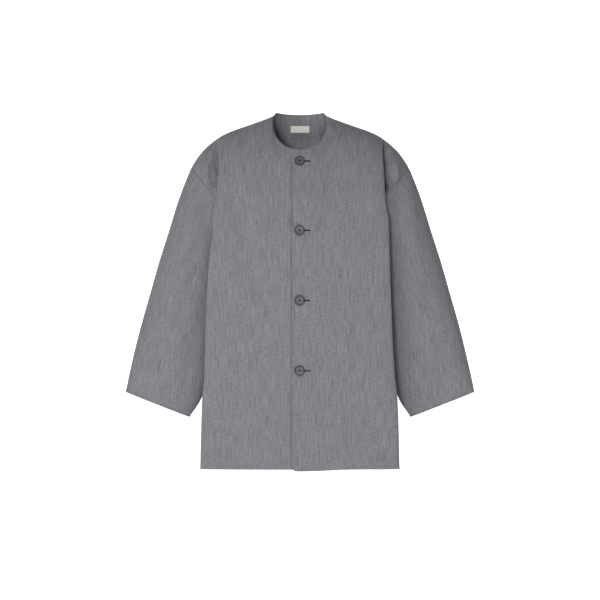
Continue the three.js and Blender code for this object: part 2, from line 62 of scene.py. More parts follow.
# How far the back neckline stands above the neck point, as it turns from there, at 0, to the middle, at 1
NECK_BACK_LINE = [
    dict(turn=0, rise=0),
    dict(turn=0.1, rise=0.0012),
    dict(turn=0.2, rise=0.0042),
    dict(turn=0.28, rise=0.0076),
    dict(turn=0.34, rise=0.0106),
    dict(turn=0.42, rise=0.0105),
    dict(turn=0.55, rise=0.0096),
    dict(turn=0.75, rise=0.0085),
    dict(turn=1, rise=0.0079),
]

# The shoulder line seen from the front, from the neck point to the top of the dropped armhole
SHOULDER = [
    dict(out=0.0605, down=0.0072),
    dict(out=0.070, down=0.0110),
    dict(out=0.106, down=0.0242),
    dict(out=0.140, down=0.0362),
    dict(out=0.160, down=0.0442),
    dict(out=0.176, down=0.0526),
    dict(out=0.190, down=0.0622),
    dict(out=0.203, down=0.0734),
    dict(out=0.215, down=0.0857),
    dict(out=0.225, down=0.0985),
    dict(out=0.2325, down=0.1098),
    dict(out=0.239, down=0.1207),
]

# Where the control columns of a panel start on the shoulder line, from the second one on
SHOULDER_STOPS = (0.0605, 0.118, 0.163, 0.183, 0.199, 0.239)

# How the front and the back leave their top edge at each control column: how steeply they fall, in degrees,
# and how far they keep that slope, as a share of the yoke's length
YOKE_SLOPES = [
    dict(column=0, front_slope=60, front_reach=1, back_slope=84, back_reach=1.15),
    dict(column=0.5, front_slope=46, front_reach=1, back_slope=74, back_reach=1.1),
    dict(column=1, front_slope=34, front_reach=1, back_slope=12, back_reach=1.35),
    dict(column=2, front_slope=18, front_reach=1, back_slope=8, back_reach=1.2),
    dict(column=3, front_slope=6, front_reach=1, back_slope=2, back_reach=1),
    dict(column=6, front_slope=0, front_reach=1, back_slope=0, back_reach=1),
]

# Half-sections below the yoke, a row for each level. centre is the depth of the middle, and edge that of the
# last flat point before the drape fold. right_fold and left_fold are how far out the fold's crest lies at
# each arm, and fold is its depth.
FRONT_LEVELS = [
    dict(down=0.150, centre=0.098, edge=0.086, right_fold=0.1826, left_fold=0.1882, fold=0.075),
    dict(down=0.184, centre=0.107, edge=0.095, right_fold=0.1839, left_fold=0.1893, fold=0.083),
    dict(down=0.222, centre=0.113, edge=0.101, right_fold=0.1860, left_fold=0.1906, fold=0.093),
    dict(down=0.262, centre=0.117, edge=0.105, right_fold=0.1882, left_fold=0.1917, fold=0.098),
    dict(down=0.300, centre=0.119, edge=0.107, right_fold=0.1940, left_fold=0.1928, fold=0.101),
    dict(down=0.357, centre=0.121, edge=0.109, right_fold=0.1987, left_fold=0.1946, fold=0.103),
    dict(down=0.465, centre=0.122, edge=0.110, right_fold=0.2037, left_fold=0.1984, fold=0.104),
    dict(down=0.573, centre=0.121, edge=0.110, right_fold=0.2061, left_fold=0.2040, fold=0.104),
    dict(down=0.625, centre=0.121, edge=0.109, right_fold=0.2105, left_fold=0.2094, fold=0.103),
    dict(down=0.776, centre=0.120, edge=0.108, right_fold=0.2137, left_fold=0.2137, fold=0.101),
]
BACK_LEVELS = [
    dict(down=0.150, centre=0.104, edge=0.088, right_fold=0.178, left_fold=0.178, fold=0.075),
    dict(down=0.184, centre=0.108, edge=0.093, right_fold=0.180, left_fold=0.180, fold=0.081),
    dict(down=0.222, centre=0.110, edge=0.096, right_fold=0.183, left_fold=0.183, fold=0.085),
    dict(down=0.262, centre=0.111, edge=0.097, right_fold=0.185, left_fold=0.186, fold=0.087),
    dict(down=0.300, centre=0.111, edge=0.097, right_fold=0.187, left_fold=0.189, fold=0.088),
    dict(down=0.357, centre=0.110, edge=0.096, right_fold=0.189, left_fold=0.192, fold=0.087),
    dict(down=0.465, centre=0.109, edge=0.095, right_fold=0.194, left_fold=0.195, fold=0.085),
    dict(down=0.573, centre=0.109, edge=0.095, right_fold=0.200, left_fold=0.199, fold=0.085),
    dict(down=0.625, centre=0.109, edge=0.095, right_fold=0.204, left_fold=0.203, fold=0.086),
    dict(down=0.776, centre=0.111, edge=0.097, right_fold=0.210, left_fold=0.210, fold=0.088),
]

# The hollow behind each drape fold, where the sleeve hangs
HOLLOW_LEVELS = [
    dict(down=0.150, front_out=0.194, front_depth=0.062, back_out=0.193, back_depth=0.065),
    dict(down=0.184, front_out=0.187, front_depth=0.070, back_out=0.186, back_depth=0.072),
    dict(down=0.222, front_out=0.178, front_depth=0.072, back_out=0.178, back_depth=0.074),
    dict(down=0.262, front_out=0.170, front_depth=0.070, back_out=0.170, back_depth=0.071),
    dict(down=0.300, front_out=0.166, front_depth=0.064, back_out=0.166, back_depth=0.064),
    dict(down=0.357, front_out=0.165, front_depth=0.056, back_out=0.165, back_depth=0.056),
    dict(down=0.465, front_out=0.170, front_depth=0.052, back_out=0.170, back_depth=0.052),
    dict(down=0.573, front_out=0.184, front_depth=0.050, back_out=0.184, back_depth=0.050),
    dict(down=0.625, front_out=0.197, front_depth=0.048, back_out=0.197, back_depth=0.048),
    dict(down=0.776, front_out=0.2085, front_depth=0.048, back_out=0.2085, back_depth=0.048),
]

# How far the flat's edge lies inside the fold's crest, where the chest's column lies on the way to that edge,
# and how sharply the half-section rounds from the middle to it
EDGE_INSET = 0.012
CHEST_SHARE = 0.66
CROWN_POWER = 2.2

# The levels between which a panel runs, and the step over which the yoke finds the slope below it
YOKE_DOWN = 0.150
UNDERARM_DOWN = 0.300
HEM_DOWN = 0.776
TANGENT_STEP = 0.010

# The seam at each level: the armhole as far as the underarm, and the side seam from there on.
# seam_down is the seam's own height, which the armhole's round lower end draws away from the level.
SEAM_LEVELS = [
    dict(down=0.150, out=0.216, seam_down=0.150, depth=0.045),
    dict(down=0.184, out=0.189, seam_down=0.184, depth=0.060),
    dict(down=0.222, out=0.172, seam_down=0.222, depth=0.063),
    dict(down=0.262, out=0.161, seam_down=0.266, depth=0.050),
    dict(down=0.285, out=0.157, seam_down=0.291, depth=0.027),
    dict(down=0.300, out=0.156, seam_down=0.300, depth=0),
    dict(down=0.357, out=0.157, seam_down=0.357, depth=0),
    dict(down=0.465, out=0.163, seam_down=0.465, depth=0),
    dict(down=0.573, out=0.180, seam_down=0.573, depth=0),
    dict(down=0.625, out=0.193, seam_down=0.625, depth=0),
    dict(down=0.776, out=0.2075, seam_down=0.776, depth=0),
]

# The sleeve as rings from the armhole, at 0, to the cuff, at 1: the place of each ring's outer point and of
# its inner one, half of its depth from front to back, and how far forward its middle lies
SLEEVE_RINGS = [
    dict(along=0, out=0.239, down=0.1207, inner_out=0.156, inner_down=0.300, half=0.062, forward=0),
    dict(along=0.035, out=0.245, down=0.1345, inner_out=0.160, inner_down=0.307, half=0.0624, forward=0),
    dict(along=0.08, out=0.253, down=0.154, inner_out=0.164, inner_down=0.316, half=0.063, forward=0),
    dict(along=0.16, out=0.266, down=0.189, inner_out=0.169, inner_down=0.336, half=0.063, forward=0),
    dict(along=0.3, out=0.288, down=0.260, inner_out=0.173, inner_down=0.376, half=0.062, forward=0.001),
    dict(along=0.44, out=0.310, down=0.330, inner_out=0.176, inner_down=0.418, half=0.060, forward=0.003),
    dict(along=0.58, out=0.330, down=0.400, inner_out=0.181, inner_down=0.465, half=0.055, forward=0.005),
    dict(along=0.72, out=0.350, down=0.471, inner_out=0.189, inner_down=0.520, half=0.047, forward=0.007),
    dict(along=0.86, out=0.367, down=0.541, inner_out=0.202, inner_down=0.583, half=0.037, forward=0.009),
    dict(along=0.94, out=0.376, down=0.580, inner_out=0.219, inner_down=0.631, half=0.029, forward=0.010),
    dict(along=1, out=0.3825, down=0.6125, inner_out=0.2428, inner_down=0.6675, half=0.022, forward=0.011),
]

# How the rings close up towards the armhole, how round the sleeve and its cuff are, where 1 is an ellipse and
# less is fuller, and over which share of its length the sleeve leaves the armhole's form
SLEEVE_RING_SPACING = 1.15
SLEEVE_ROUNDNESS = 0.86
CUFF_ROUNDNESS = 0.68
ARMHOLE_FADE = 0.22

# The closure: how far each front runs past the middle, how far the upper one is raised off the under one, the
# groove in the under one beside the upper one's edge, the roll of that edge, and its hanging lower corner
CLOSURE_OVERLAP = 0.0165
LAP_LIFT = CLOTH_WALL + 0.00045
LAP_FADE_START = 0.022
LAP_FADE_END = 0.075
LAP_GROOVE = 0.0015
LAP_GROOVE_WIDE = 0.0013
LAP_ROLL = 0.0008
LAP_ROLL_WIDE = 0.004
LAP_HEM_DROP = 0.0035
LAP_HEM_DROP_REACH = 0.120
CORNER_RADIUS = 0.009
CORNER_REACH = 0.035

# Buttons and label
BUTTON_COUNT = 4
FIRST_BUTTON_DOWN = 0.111
BUTTON_PITCH = 0.1508
BUTTON_RADIUS = 0.0112
BUTTON_HOLE_RADIUS = 0.0012
BUTTON_HOLE_SPACING = 0.0044
BUTTON_LIFT = 0.0005
LABEL_WIDTH = 0.042
LABEL_HEIGHT = 0.015
LABEL_TOP_DOWN = 0.024

# Fineness of the cloth: steps between the control columns, and steps down the yoke, the armhole and the sides
COLUMN_STEPS = (18, 16, 14, 12, 14, 16)
YOKE_STEPS = 46
ARMHOLE_STEPS = 42
SIDE_STEPS = 132
SLEEVE_RING_COUNT = 150

# Finer rows and columns: from a finished edge in, from a seam on as shares of a part's length, and past the
# first and before the last column
EDGE_STEPS = (0, 0.0003, 0.0008, 0.0016, 0.0028)
SEAM_SHARES = (0.0015, 0.004, 0.009)
FIRST_COLUMNS = (0.006, 0.016, 0.032)
LAST_COLUMNS = (0.05, 0.03, 0.013, 0.005, 0)

# Columns of a front past the middle, and how finely they are looked up on the form there
LAP_STEPS = 8
LAP_SEARCH_STEPS = 90

# The under front's extra columns beside the upper front's edge, which its groove needs
GROOVE_FIRST_COLUMN = 0.22
GROOVE_LAST_COLUMN = 0.5
GROOVE_COLUMN_COUNT = 26

# What a length is taken as where it could be 0, before dividing by it
LEAST_LENGTH = 1e-12


def smooth(share):
    """0 below 0 and 1 above 1, on a smooth curve between them."""
    held = np.clip(share, 0, 1)
    return held * held * (3 - 2 * held)


def unit(vectors):
    """The vectors scaled to a length of 1."""
    return vectors / np.maximum(np.linalg.norm(vectors, axis=-1, keepdims=True), LEAST_LENGTH)


def column_of(rows, column):
    """One column of a table."""
    return np.array([row[column] for row in rows], float)


def read(rows, along, column, at):
    """A column of a table at places between its rows, on a smooth curve that never overshoots them."""
    place = column_of(rows, along)
    value = column_of(rows, column)
    gap = np.diff(place)
    rise = np.diff(value) / gap
    both = rise[:-1] * rise[1:]
    slope = np.concatenate([rise[:1], np.zeros(len(both)), rise[-1:]])
    bends_alike = both > 0
    slope[1:-1][bends_alike] = 2 * both[bends_alike] / (rise[:-1] + rise[1:])[bends_alike]
    held = np.clip(at, place[0], place[-1])
    i = np.clip(np.searchsorted(place, held, side="right") - 1, 0, len(gap) - 1)
    t = (held - place[i]) / gap[i]
    start = value[i] * (1 + 2 * t) * (1 - t) ** 2 + slope[i] * gap[i] * t * (1 - t) ** 2
    return start + value[i + 1] * t * t * (3 - 2 * t) - slope[i + 1] * gap[i] * t * t * (1 - t)


# Form of the body


def neckline(face, arm, turn):
    """The neckline's edge. turn is 0 at the neck point, on the shoulder, and 1 in the middle of a face."""
    angle = turn * math.pi / 2
    out = NECK_HALF_WIDTH * np.cos(angle)
    run = np.sin(angle) ** NECK_ROUNDNESS
    if face == BACK:
        rise = read(NECK_BACK_LINE, "turn", "rise", turn)
        return np.stack([arm * out, NECK_BACK_DEPTH * run, rise - NECK_POINT_DOWN], axis=-1)
    return np.stack([arm * out, -NECK_FRONT_DEPTH * run, -NECK_POINT_DOWN - NECK_FRONT_DROP * run], axis=-1)


def section_controls(face, arm, down):
    """The half-section's control points at a level, from the middle out to the seam.

    Between them lie the column under the neck point, the chest, the flat's edge, the crest of the drape fold
    and the hollow behind it.
    """
    side, levels = ("front", FRONT_LEVELS) if face == FRONT else ("back", BACK_LEVELS)

    def level(column):
        return float(read(levels, "down", column, down))

    def hollow(column):
        return float(read(HOLLOW_LEVELS, "down", f"{side}_{column}", down))

    def seam(column):
        return float(read(SEAM_LEVELS, "down", column, down))

    def crown(share):
        return level("centre") - (level("centre") - level("edge")) * share**CROWN_POWER

    fold_out = level("right_fold" if arm == RIGHT_ARM else "left_fold")
    edge_out = fold_out - EDGE_INSET
    neck_share = SHOULDER_STOPS[0] / SHOULDER_STOPS[2]
    places = [
        (0, crown(0), down),
        (edge_out * neck_share, crown(neck_share), down),
        (edge_out * CHEST_SHARE, crown(CHEST_SHARE), down),
        (edge_out, crown(1), down),
        (fold_out, level("fold"), down),
        (hollow("out"), hollow("depth"), down),
        (seam("out"), seam("depth"), seam("seam_down")),
    ]
    return np.array([(arm * out, face * depth, -place_down) for out, depth, place_down in places])


def rounded_line(controls, columns):
    """Points on a smooth line through controls. Column 0 is the first, and each whole number one more."""
    first = 2 * controls[0] - controls[1]
    last = 2 * controls[-1] - controls[-2]
    points = np.vstack([first, controls, last])
    i = np.clip(np.floor(columns).astype(int), 0, len(controls) - 2)
    t = (columns - i)[:, None]
    a, b, c, d = (points[i + k] for k in range(4))
    before, here, after = (
        np.sqrt(np.linalg.norm(end - start, axis=1))[:, None] for start, end in ((a, b), (b, c), (c, d))
    )
    leave = ((b - a) / before - (c - a) / (before + here) + (c - b) / here) * here
    arrive = ((c - b) / here - (d - b) / (here + after) + (d - c) / after) * here
    square = -3 * b + 3 * c - 2 * leave - arrive
    cube = 2 * b - 2 * c + leave + arrive
    return b + leave * t + square * t**2 + cube * t**3


def section(face, arm, down, columns):
    """Points of the half-section at a level."""
    return rounded_line(section_controls(face, arm, down), columns)


def top_edge(face, arm, columns):
    """The top edge of a panel: the neckline up to column 1, then the shoulder seam."""
    on_neck = neckline(face, arm, np.clip(1 - columns, 0, 1))
    out = np.interp(columns - 1, np.arange(len(SHOULDER_STOPS)), SHOULDER_STOPS)
    on_shoulder = np.stack([arm * out, np.zeros_like(out), -read(SHOULDER, "out", "down", out)], axis=-1)
    return np.where((columns <= 1)[:, None], on_neck, on_shoulder)


def body_rows(face, arm, columns, falls):
    """Rows of points of the body, from fall 0 at the top over 1 below the yoke and 2 at the underarm to 3."""
    side = "front" if face == FRONT else "back"
    top = top_edge(face, arm, columns)
    foot = section(face, arm, YOKE_DOWN, columns)
    below = section(face, arm, YOKE_DOWN + TANGENT_STEP, columns)
    length = np.linalg.norm(foot - top, axis=1, keepdims=True)
    slope = np.radians(read(YOKE_SLOPES, "column", side + "_slope", columns))
    reach = length * read(YOKE_SLOPES, "column", side + "_reach", columns)[:, None]
    leave = np.stack([np.zeros_like(slope), face * np.cos(slope), -np.sin(slope)], axis=-1) * reach
    arrive = unit(below - foot) * length
    rows = []
    for t in falls:
        if t <= 1:
            row = top * (1 + 2 * t) * (1 - t) ** 2 + leave * t * (1 - t) ** 2
            rows.append(row + foot * t * t * (3 - 2 * t) - arrive * t * t * (1 - t))
        elif t <= 2:
            rows.append(section(face, arm, YOKE_DOWN + (UNDERARM_DOWN - YOKE_DOWN) * (t - 1), columns))
        else:
            rows.append(section(face, arm, UNDERARM_DOWN + (HEM_DOWN - UNDERARM_DOWN) * (t - 2), columns))
    return np.array(rows)


def column_list():
    """The columns of a panel, finer beside its first and its last one."""
    plain = [i + k / steps for i, steps in enumerate(COLUMN_STEPS) for k in range(steps)]
    close = [len(COLUMN_STEPS) - step for step in LAST_COLUMNS]
    return np.array(sorted({*plain, *FIRST_COLUMNS, *close}))


def fall_list():
    """The falls of a panel's rows, finer beside its top edge and its hem."""
    yoke = [k / YOKE_STEPS for k in range(YOKE_STEPS)]
    armhole = [1 + k / ARMHOLE_STEPS for k in range(ARMHOLE_STEPS)]
    side = [2 + k / SIDE_STEPS for k in range(SIDE_STEPS)]
    close_hem = [3 - step / (HEM_DOWN - UNDERARM_DOWN) for step in EDGE_STEPS]
    return np.array(sorted({*yoke, *armhole, *side, *SEAM_SHARES, *close_hem}))


def lap_rows(arm, falls):
    """The part of a front's rows that laps past the middle, from its edge on, on the other front's form."""
    columns = np.linspace(0, 1, LAP_SEARCH_STEPS)
    rows = body_rows(FRONT, -arm, columns, falls)
    outs = [CLOSURE_OVERLAP - step for step in EDGE_STEPS]
    outs += [CLOSURE_OVERLAP * (1 - k / LAP_STEPS) for k in range(2, LAP_STEPS)]
    laps = []
    for row in rows:
        out = np.abs(row[:, 0])
        laps.append(np.stack([np.interp(outs, out, row[:, axis]) for axis in range(3)], axis=-1))
    return np.array(laps)


def plain_grid(face, arm):
    """A panel's points before its folds, and the column number of each of its columns."""
    columns = column_list()
    if face == FRONT and arm == RIGHT_ARM:
        beside_edge = np.linspace(GROOVE_FIRST_COLUMN, GROOVE_LAST_COLUMN, GROOVE_COLUMN_COUNT)
        columns = np.array(sorted({*columns, *beside_edge}))
    grid = body_rows(face, arm, columns, fall_list())
    if face == FRONT:
        lap = lap_rows(arm, fall_list())
        grid = np.concatenate([lap, grid], axis=1)
        columns = np.concatenate([np.zeros(lap.shape[1]), columns])
    return grid, columns


def grid_normals(grid, turned, ring=False):
    """Outward unit normals of a grid of points. A ring closes on itself around the second index."""
    if ring:
        across = np.roll(grid, -1, axis=1) - np.roll(grid, 1, axis=1)
    else:
        padded = np.concatenate([grid[:, :1], grid, grid[:, -1:]], axis=1)
        across = padded[:, 2:] - padded[:, :-2]
    padded = np.concatenate([grid[:1], grid, grid[-1:]], axis=0)
    along = padded[2:] - padded[:-2]
    return unit(np.cross(across, along)) * (1 if turned else -1)


# Form of the sleeves


def ring_points(arm, along, angles):
    """Points of the sleeve's plain ring: angle 0 is its outer edge and a quarter turn is its front."""

    def size(column):
        return float(read(SLEEVE_RINGS, "along", column, along))

    roundness = SLEEVE_ROUNDNESS + (CUFF_ROUNDNESS - SLEEVE_ROUNDNESS) * smooth(2 * along - 1)

    def rounded(value):
        return np.sign(value) * np.abs(value) ** roundness

    outer = np.array([arm * size("out"), -size("forward"), -size("down")])
    inner = np.array([arm * size("inner_out"), -size("forward"), -size("inner_down")])
    share = 0.5 + 0.5 * rounded(np.cos(angles))
    points = inner + (outer - inner) * share[:, None]
    points[:, 1] -= size("half") * rounded(np.sin(angles))
    return points


# The armhole's falls, which give the sleeve its places around it too
ARMHOLE_FALLS = np.linspace(0, 2, YOKE_STEPS + ARMHOLE_STEPS + 1)
SLEEVE_LENGTH = 0.56
SEAM_NORMAL_COLUMNS = (0.1, 0.05, 0)
SEAM_NORMAL_PASSES = 4


def around_armhole(front, back):
    """Values along the armhole joined as a ring: down the front to the underarm and up the back."""
    return np.concatenate([front, back[-2:0:-1]])


def sleeve_grid(arm):
    """A sleeve's points before its creases, in rings that start on the armhole, and their angles."""
    seam = np.array([float(len(COLUMN_STEPS))])
    front, back = (body_rows(face, arm, seam, ARMHOLE_FALLS)[:, 0] for face in (FRONT, BACK))
    armhole = around_armhole(front, back)
    angles = 2 * math.pi * np.arange(len(armhole)) / len(armhole)
    offset = armhole - ring_points(arm, 0, angles)
    plain = set(np.linspace(0, 1, SLEEVE_RING_COUNT) ** SLEEVE_RING_SPACING)
    close_cuff = {1 - step / SLEEVE_LENGTH for step in EDGE_STEPS}
    shares = np.array(sorted(plain | close_cuff | set(SEAM_SHARES)))
    fades = np.maximum(0, 1 - shares / ARMHOLE_FADE) ** 2
    grid = np.array([ring_points(arm, share, angles) + offset * fade for share, fade in zip(shares, fades)])
    return grid, angles


def armhole_normals(arm, rings):
    """The direction halfway between each panel's normal and the sleeve's around the armhole."""
    columns = np.array([len(COLUMN_STEPS) - step for step in SEAM_NORMAL_COLUMNS])
    front, back = (
        grid_normals(body_rows(face, arm, columns, ARMHOLE_FALLS), face * arm > 0)[:, -1]
        for face in (FRONT, BACK)
    )
    normals = unit(around_armhole(front, back) + grid_normals(rings[:3], arm > 0, True)[0])
    for _ in range(SEAM_NORMAL_PASSES):
        normals = unit(np.roll(normals, 1, axis=0) + 2 * normals + np.roll(normals, -1, axis=0))
    return normals


# Folds and creases of each piece of the body: where one starts and ends, how high it stands or, below zero,
# how deep it lies, and how wide it is. bow is how far its middle bows aside, where it does. steep is the
# width of its side towards the middle of the body, where that side is the steeper one.
BODY_FOLDS = dict(
    front_right=[
        dict(out=0.150, down=0.110, end_out=0.092, end_down=0.440, height=-0.004, wide=0.022),
        dict(out=0.148, down=0.560, end_out=0.150, end_down=0.790, height=-0.0035, wide=0.024),
    ],
    front_left=[
        dict(out=0.082, down=0.060, end_out=0.062, end_down=0.220, height=-0.003, wide=0.020),
        dict(out=0.200, down=0.700, end_out=0.120, end_down=0.800, height=-0.0035, wide=0.020),
    ],
    back_right=[
        dict(out=0.128, down=0.130, end_out=0.150, end_down=0.520, height=-0.004, wide=0.024),
    ],
    back_left=[
        dict(out=0.112, down=0.150, end_out=0.140, end_down=0.600, height=-0.004, wide=0.026),
    ],
)

# The first three rows of each front shape its drape fold at the armhole: the bulge of the sleeve's head, the
# narrow crease behind the fold, and the deep valley in which the fold starts at the shoulder
BODY_CREASES = dict(
    front_right=[
        dict(out=0.206, down=0.096, end_out=0.203, end_down=0.195, height=0.006, wide=0.009),
        dict(out=0.187, down=0.085, end_out=0.188, end_down=0.215, height=-0.014, wide=0.0035),
        dict(out=0.183, down=0.045, end_out=0.190, end_down=0.215, height=-0.026, wide=0.0095, steep=0.0045),
        dict(out=0.108, down=0.672, end_out=0.170, end_down=0.800, bow=0.006, height=-0.0018, wide=0.010),
        dict(out=0.062, down=0.650, end_out=0.070, end_down=0.830, height=0.0014, wide=0.013),
        dict(out=0.060, down=0.180, end_out=0.048, end_down=0.330, bow=0.003, height=-0.0011, wide=0.011),
        dict(out=0.120, down=0.330, end_out=0.104, end_down=0.560, bow=-0.004, height=0.0012, wide=0.013),
        dict(out=0.030, down=0.430, end_out=0.036, end_down=0.560, height=-0.0010, wide=0.009),
    ],
    front_left=[
        dict(out=0.210, down=0.096, end_out=0.207, end_down=0.195, height=0.006, wide=0.009),
        dict(out=0.192, down=0.085, end_out=0.196, end_down=0.235, height=-0.014, wide=0.005),
        dict(out=0.186, down=0.045, end_out=0.196, end_down=0.235, height=-0.026, wide=0.0095, steep=0.0045),
        dict(out=0.066, down=0.012, end_out=0.060, end_down=0.105, height=-0.0014, wide=0.006),
        dict(out=0.040, down=0.350, end_out=-0.004, end_down=0.392, height=-0.0012, wide=0.008),
        dict(out=0.122, down=0.385, end_out=0.119, end_down=0.500, bow=0.002, height=-0.0015, wide=0.009),
        dict(out=0.024, down=0.440, end_out=0.021, end_down=0.525, height=-0.0010, wide=0.007),
        dict(out=0.022, down=0.680, end_out=0.024, end_down=0.750, height=-0.0010, wide=0.007),
        dict(out=0.100, down=0.130, end_out=0.092, end_down=0.330, bow=0.003, height=0.0012, wide=0.014),
        dict(out=0.158, down=0.260, end_out=0.150, end_down=0.600, bow=0.004, height=-0.0013, wide=0.012),
    ],
    back_right=[
        dict(out=0.179, down=0.065, end_out=0.186, end_down=0.220, height=-0.0042, wide=0.008),
        dict(out=0.070, down=0.055, end_out=0.084, end_down=0.200, bow=0.004, height=-0.0018, wide=0.014),
        dict(out=0.046, down=0.300, end_out=0.058, end_down=0.560, bow=-0.005, height=-0.0014, wide=0.016),
        dict(out=0.150, down=0.600, end_out=0.118, end_down=0.800, height=-0.0022, wide=0.017),
    ],
    back_left=[
        dict(out=0.181, down=0.062, end_out=0.189, end_down=0.230, height=-0.0046, wide=0.0075),
        dict(out=0.062, down=0.070, end_out=0.052, end_down=0.260, bow=0.003, height=-0.0015, wide=0.015),
        dict(out=0.074, down=0.380, end_out=0.060, end_down=0.640, bow=0.006, height=0.0014, wide=0.018),
        dict(out=0.090, down=0.690, end_out=0.150, end_down=0.800, height=-0.0020, wide=0.015),
    ],
)

# How a fold fades: at its ends, towards the armhole's column, and beside an edge or a seam
FOLD_END_SHARE = 0.3
FOLD_LAST_COLUMN = 4.5
FOLD_FADE_COLUMNS = 1.5
CREASE_EDGE_FADE = 0.010

# Creases of the sleeves, given the same way for the front and the back half of each
SLEEVE_CREASES = dict(
    sleeve_right_front=[
        dict(out=0.205, down=0.268, end_out=0.272, end_down=0.372, bow=0.004, height=-0.0026, wide=0.009),
        dict(out=0.212, down=0.330, end_out=0.258, end_down=0.430, bow=0.003, height=-0.0016, wide=0.008),
        dict(out=0.248, down=0.150, end_out=0.296, end_down=0.420, bow=-0.004, height=-0.0018, wide=0.010),
        dict(out=0.236, down=0.250, end_out=0.300, end_down=0.560, bow=0.003, height=0.0014, wide=0.010),
        dict(out=0.290, down=0.432, end_out=0.312, end_down=0.470, height=0.0016, wide=0.009),
        dict(out=0.285, down=0.492, end_out=0.338, end_down=0.478, bow=0.002, height=-0.0015, wide=0.007),
        dict(out=0.322, down=0.545, end_out=0.338, end_down=0.612, height=-0.0018, wide=0.009),
        dict(out=0.226, down=0.470, end_out=0.262, end_down=0.640, bow=-0.003, height=-0.0016, wide=0.009),
    ],
    sleeve_left_front=[
        dict(out=0.206, down=0.262, end_out=0.262, end_down=0.352, bow=0.004, height=-0.0020, wide=0.009),
        dict(out=0.254, down=0.170, end_out=0.292, end_down=0.400, bow=-0.003, height=-0.0016, wide=0.010),
        dict(out=0.262, down=0.430, end_out=0.288, end_down=0.622, bow=0.002, height=-0.0022, wide=0.008),
        dict(out=0.292, down=0.450, end_out=0.316, end_down=0.622, bow=-0.002, height=-0.0018, wide=0.007),
        dict(out=0.238, down=0.360, end_out=0.282, end_down=0.560, height=0.0014, wide=0.010),
        dict(out=0.258, down=0.588, end_out=0.292, end_down=0.646, height=-0.0014, wide=0.006),
        dict(out=0.336, down=0.565, end_out=0.368, end_down=0.620, height=-0.0014, wide=0.007),
    ],
    sleeve_right_back=[
        dict(out=0.204, down=0.262, end_out=0.274, end_down=0.350, bow=0.004, height=-0.0024, wide=0.010),
        dict(out=0.246, down=0.180, end_out=0.302, end_down=0.440, bow=-0.004, height=-0.0018, wide=0.011),
        dict(out=0.236, down=0.420, end_out=0.300, end_down=0.470, bow=0.004, height=-0.0020, wide=0.008),
        dict(out=0.262, down=0.500, end_out=0.304, end_down=0.640, height=-0.0016, wide=0.009),
    ],
    sleeve_left_back=[
        dict(out=0.202, down=0.270, end_out=0.268, end_down=0.366, bow=0.005, height=-0.0026, wide=0.010),
        dict(out=0.256, down=0.200, end_out=0.298, end_down=0.410, bow=0.003, height=-0.0016, wide=0.010),
        dict(out=0.230, down=0.452, end_out=0.310, end_down=0.430, bow=0.003, height=-0.0020, wide=0.008),
        dict(out=0.296, down=0.480, end_out=0.326, end_down=0.625, bow=0.002, height=-0.0018, wide=0.009),
    ],
)

# How far around the sleeve the creases of one half fade into the other
HALF_FADE = 0.35


def fold_height(fold, out, down):
    """How high one fold stands at places given by how far out and down they are, fading at both of its ends.

    aside is how far a place lies from the fold's line, and is below zero towards the middle of the body.
    """
    run_out = fold["end_out"] - fold["out"]
    run_down = fold["end_down"] - fold["down"]
    length = math.hypot(run_out, run_down)
    from_out = out - fold["out"]
    from_down = down - fold["down"]
    share = (from_out * run_out + from_down * run_down) / length**2
    bow = fold.get("bow", 0) * 4 * np.clip(share, 0, 1) * (1 - np.clip(share, 0, 1))
    aside = (from_out * run_down - from_down * run_out) / length - bow
    ends = smooth(share / FOLD_END_SHARE) * smooth((1 - share) / FOLD_END_SHARE)
    wide = np.where(aside < 0, fold.get("steep", fold["wide"]), fold["wide"])
    return fold["height"] * ends * np.exp(-((aside / wide) ** 2))


def folds_at(folds, out, down):
    """How high a list of folds stands at places."""
    return sum((fold_height(fold, out, down) for fold in folds), np.zeros_like(down))


def distance_to(grid, line):
    """The distance from each point of a grid to the nearest part of a line of points."""
    flat = grid.reshape(-1, 3)
    best = np.full(len(flat), np.inf)
    for start, end in zip(line[:-1], line[1:]):
        run = end - start
        share = np.clip((flat - start) @ run / max(run @ run, LEAST_LENGTH), 0, 1)
        best = np.minimum(best, np.linalg.norm(flat - start - share[:, None] * run, axis=1))
    return best.reshape(grid.shape[:2])


def arc_lengths(grid, axis):
    """How far along its row or column each point of a grid lies."""
    steps = np.linalg.norm(np.diff(grid, axis=axis), axis=-1)
    start = np.zeros_like(grid[..., 0]).take([0], axis=axis)
    return np.concatenate([start, np.cumsum(steps, axis=axis)], axis=axis)


# A sewn seam sinks between two soft ridges, which its allowances raise
SEAM_SINK = 0.00035
SEAM_SINK_WIDE = 0.0020
SEAM_RIDGE = 0.0004
SEAM_RIDGE_AT = 0.007
SEAM_RIDGE_WIDE = 0.0035

# A finished edge is double cloth, and on the cuffs a row of stitches draws it in
EDGE_SWELL = 0.0006
EDGE_SWELL_REACH = 0.011
STITCH_INSET = 0.0042
STITCH_SINK = 0.0006
STITCH_SINK_WIDE = 0.0013


def seam_relief(distance):
    """How high the cloth stands at a distance from a sewn seam."""
    ridge = SEAM_RIDGE * np.exp(-(((distance - SEAM_RIDGE_AT) / SEAM_RIDGE_WIDE) ** 2))
    return ridge - SEAM_SINK * np.exp(-((distance / SEAM_SINK_WIDE) ** 2))


def edge_relief(distance, stitched=False):
    """How high the cloth stands at a distance from a finished edge."""
    swell = EDGE_SWELL * smooth(1 - distance / EDGE_SWELL_REACH)
    if not stitched:
        return swell
    return swell - STITCH_SINK * np.exp(-(((distance - STITCH_INSET) / STITCH_SINK_WIDE) ** 2))


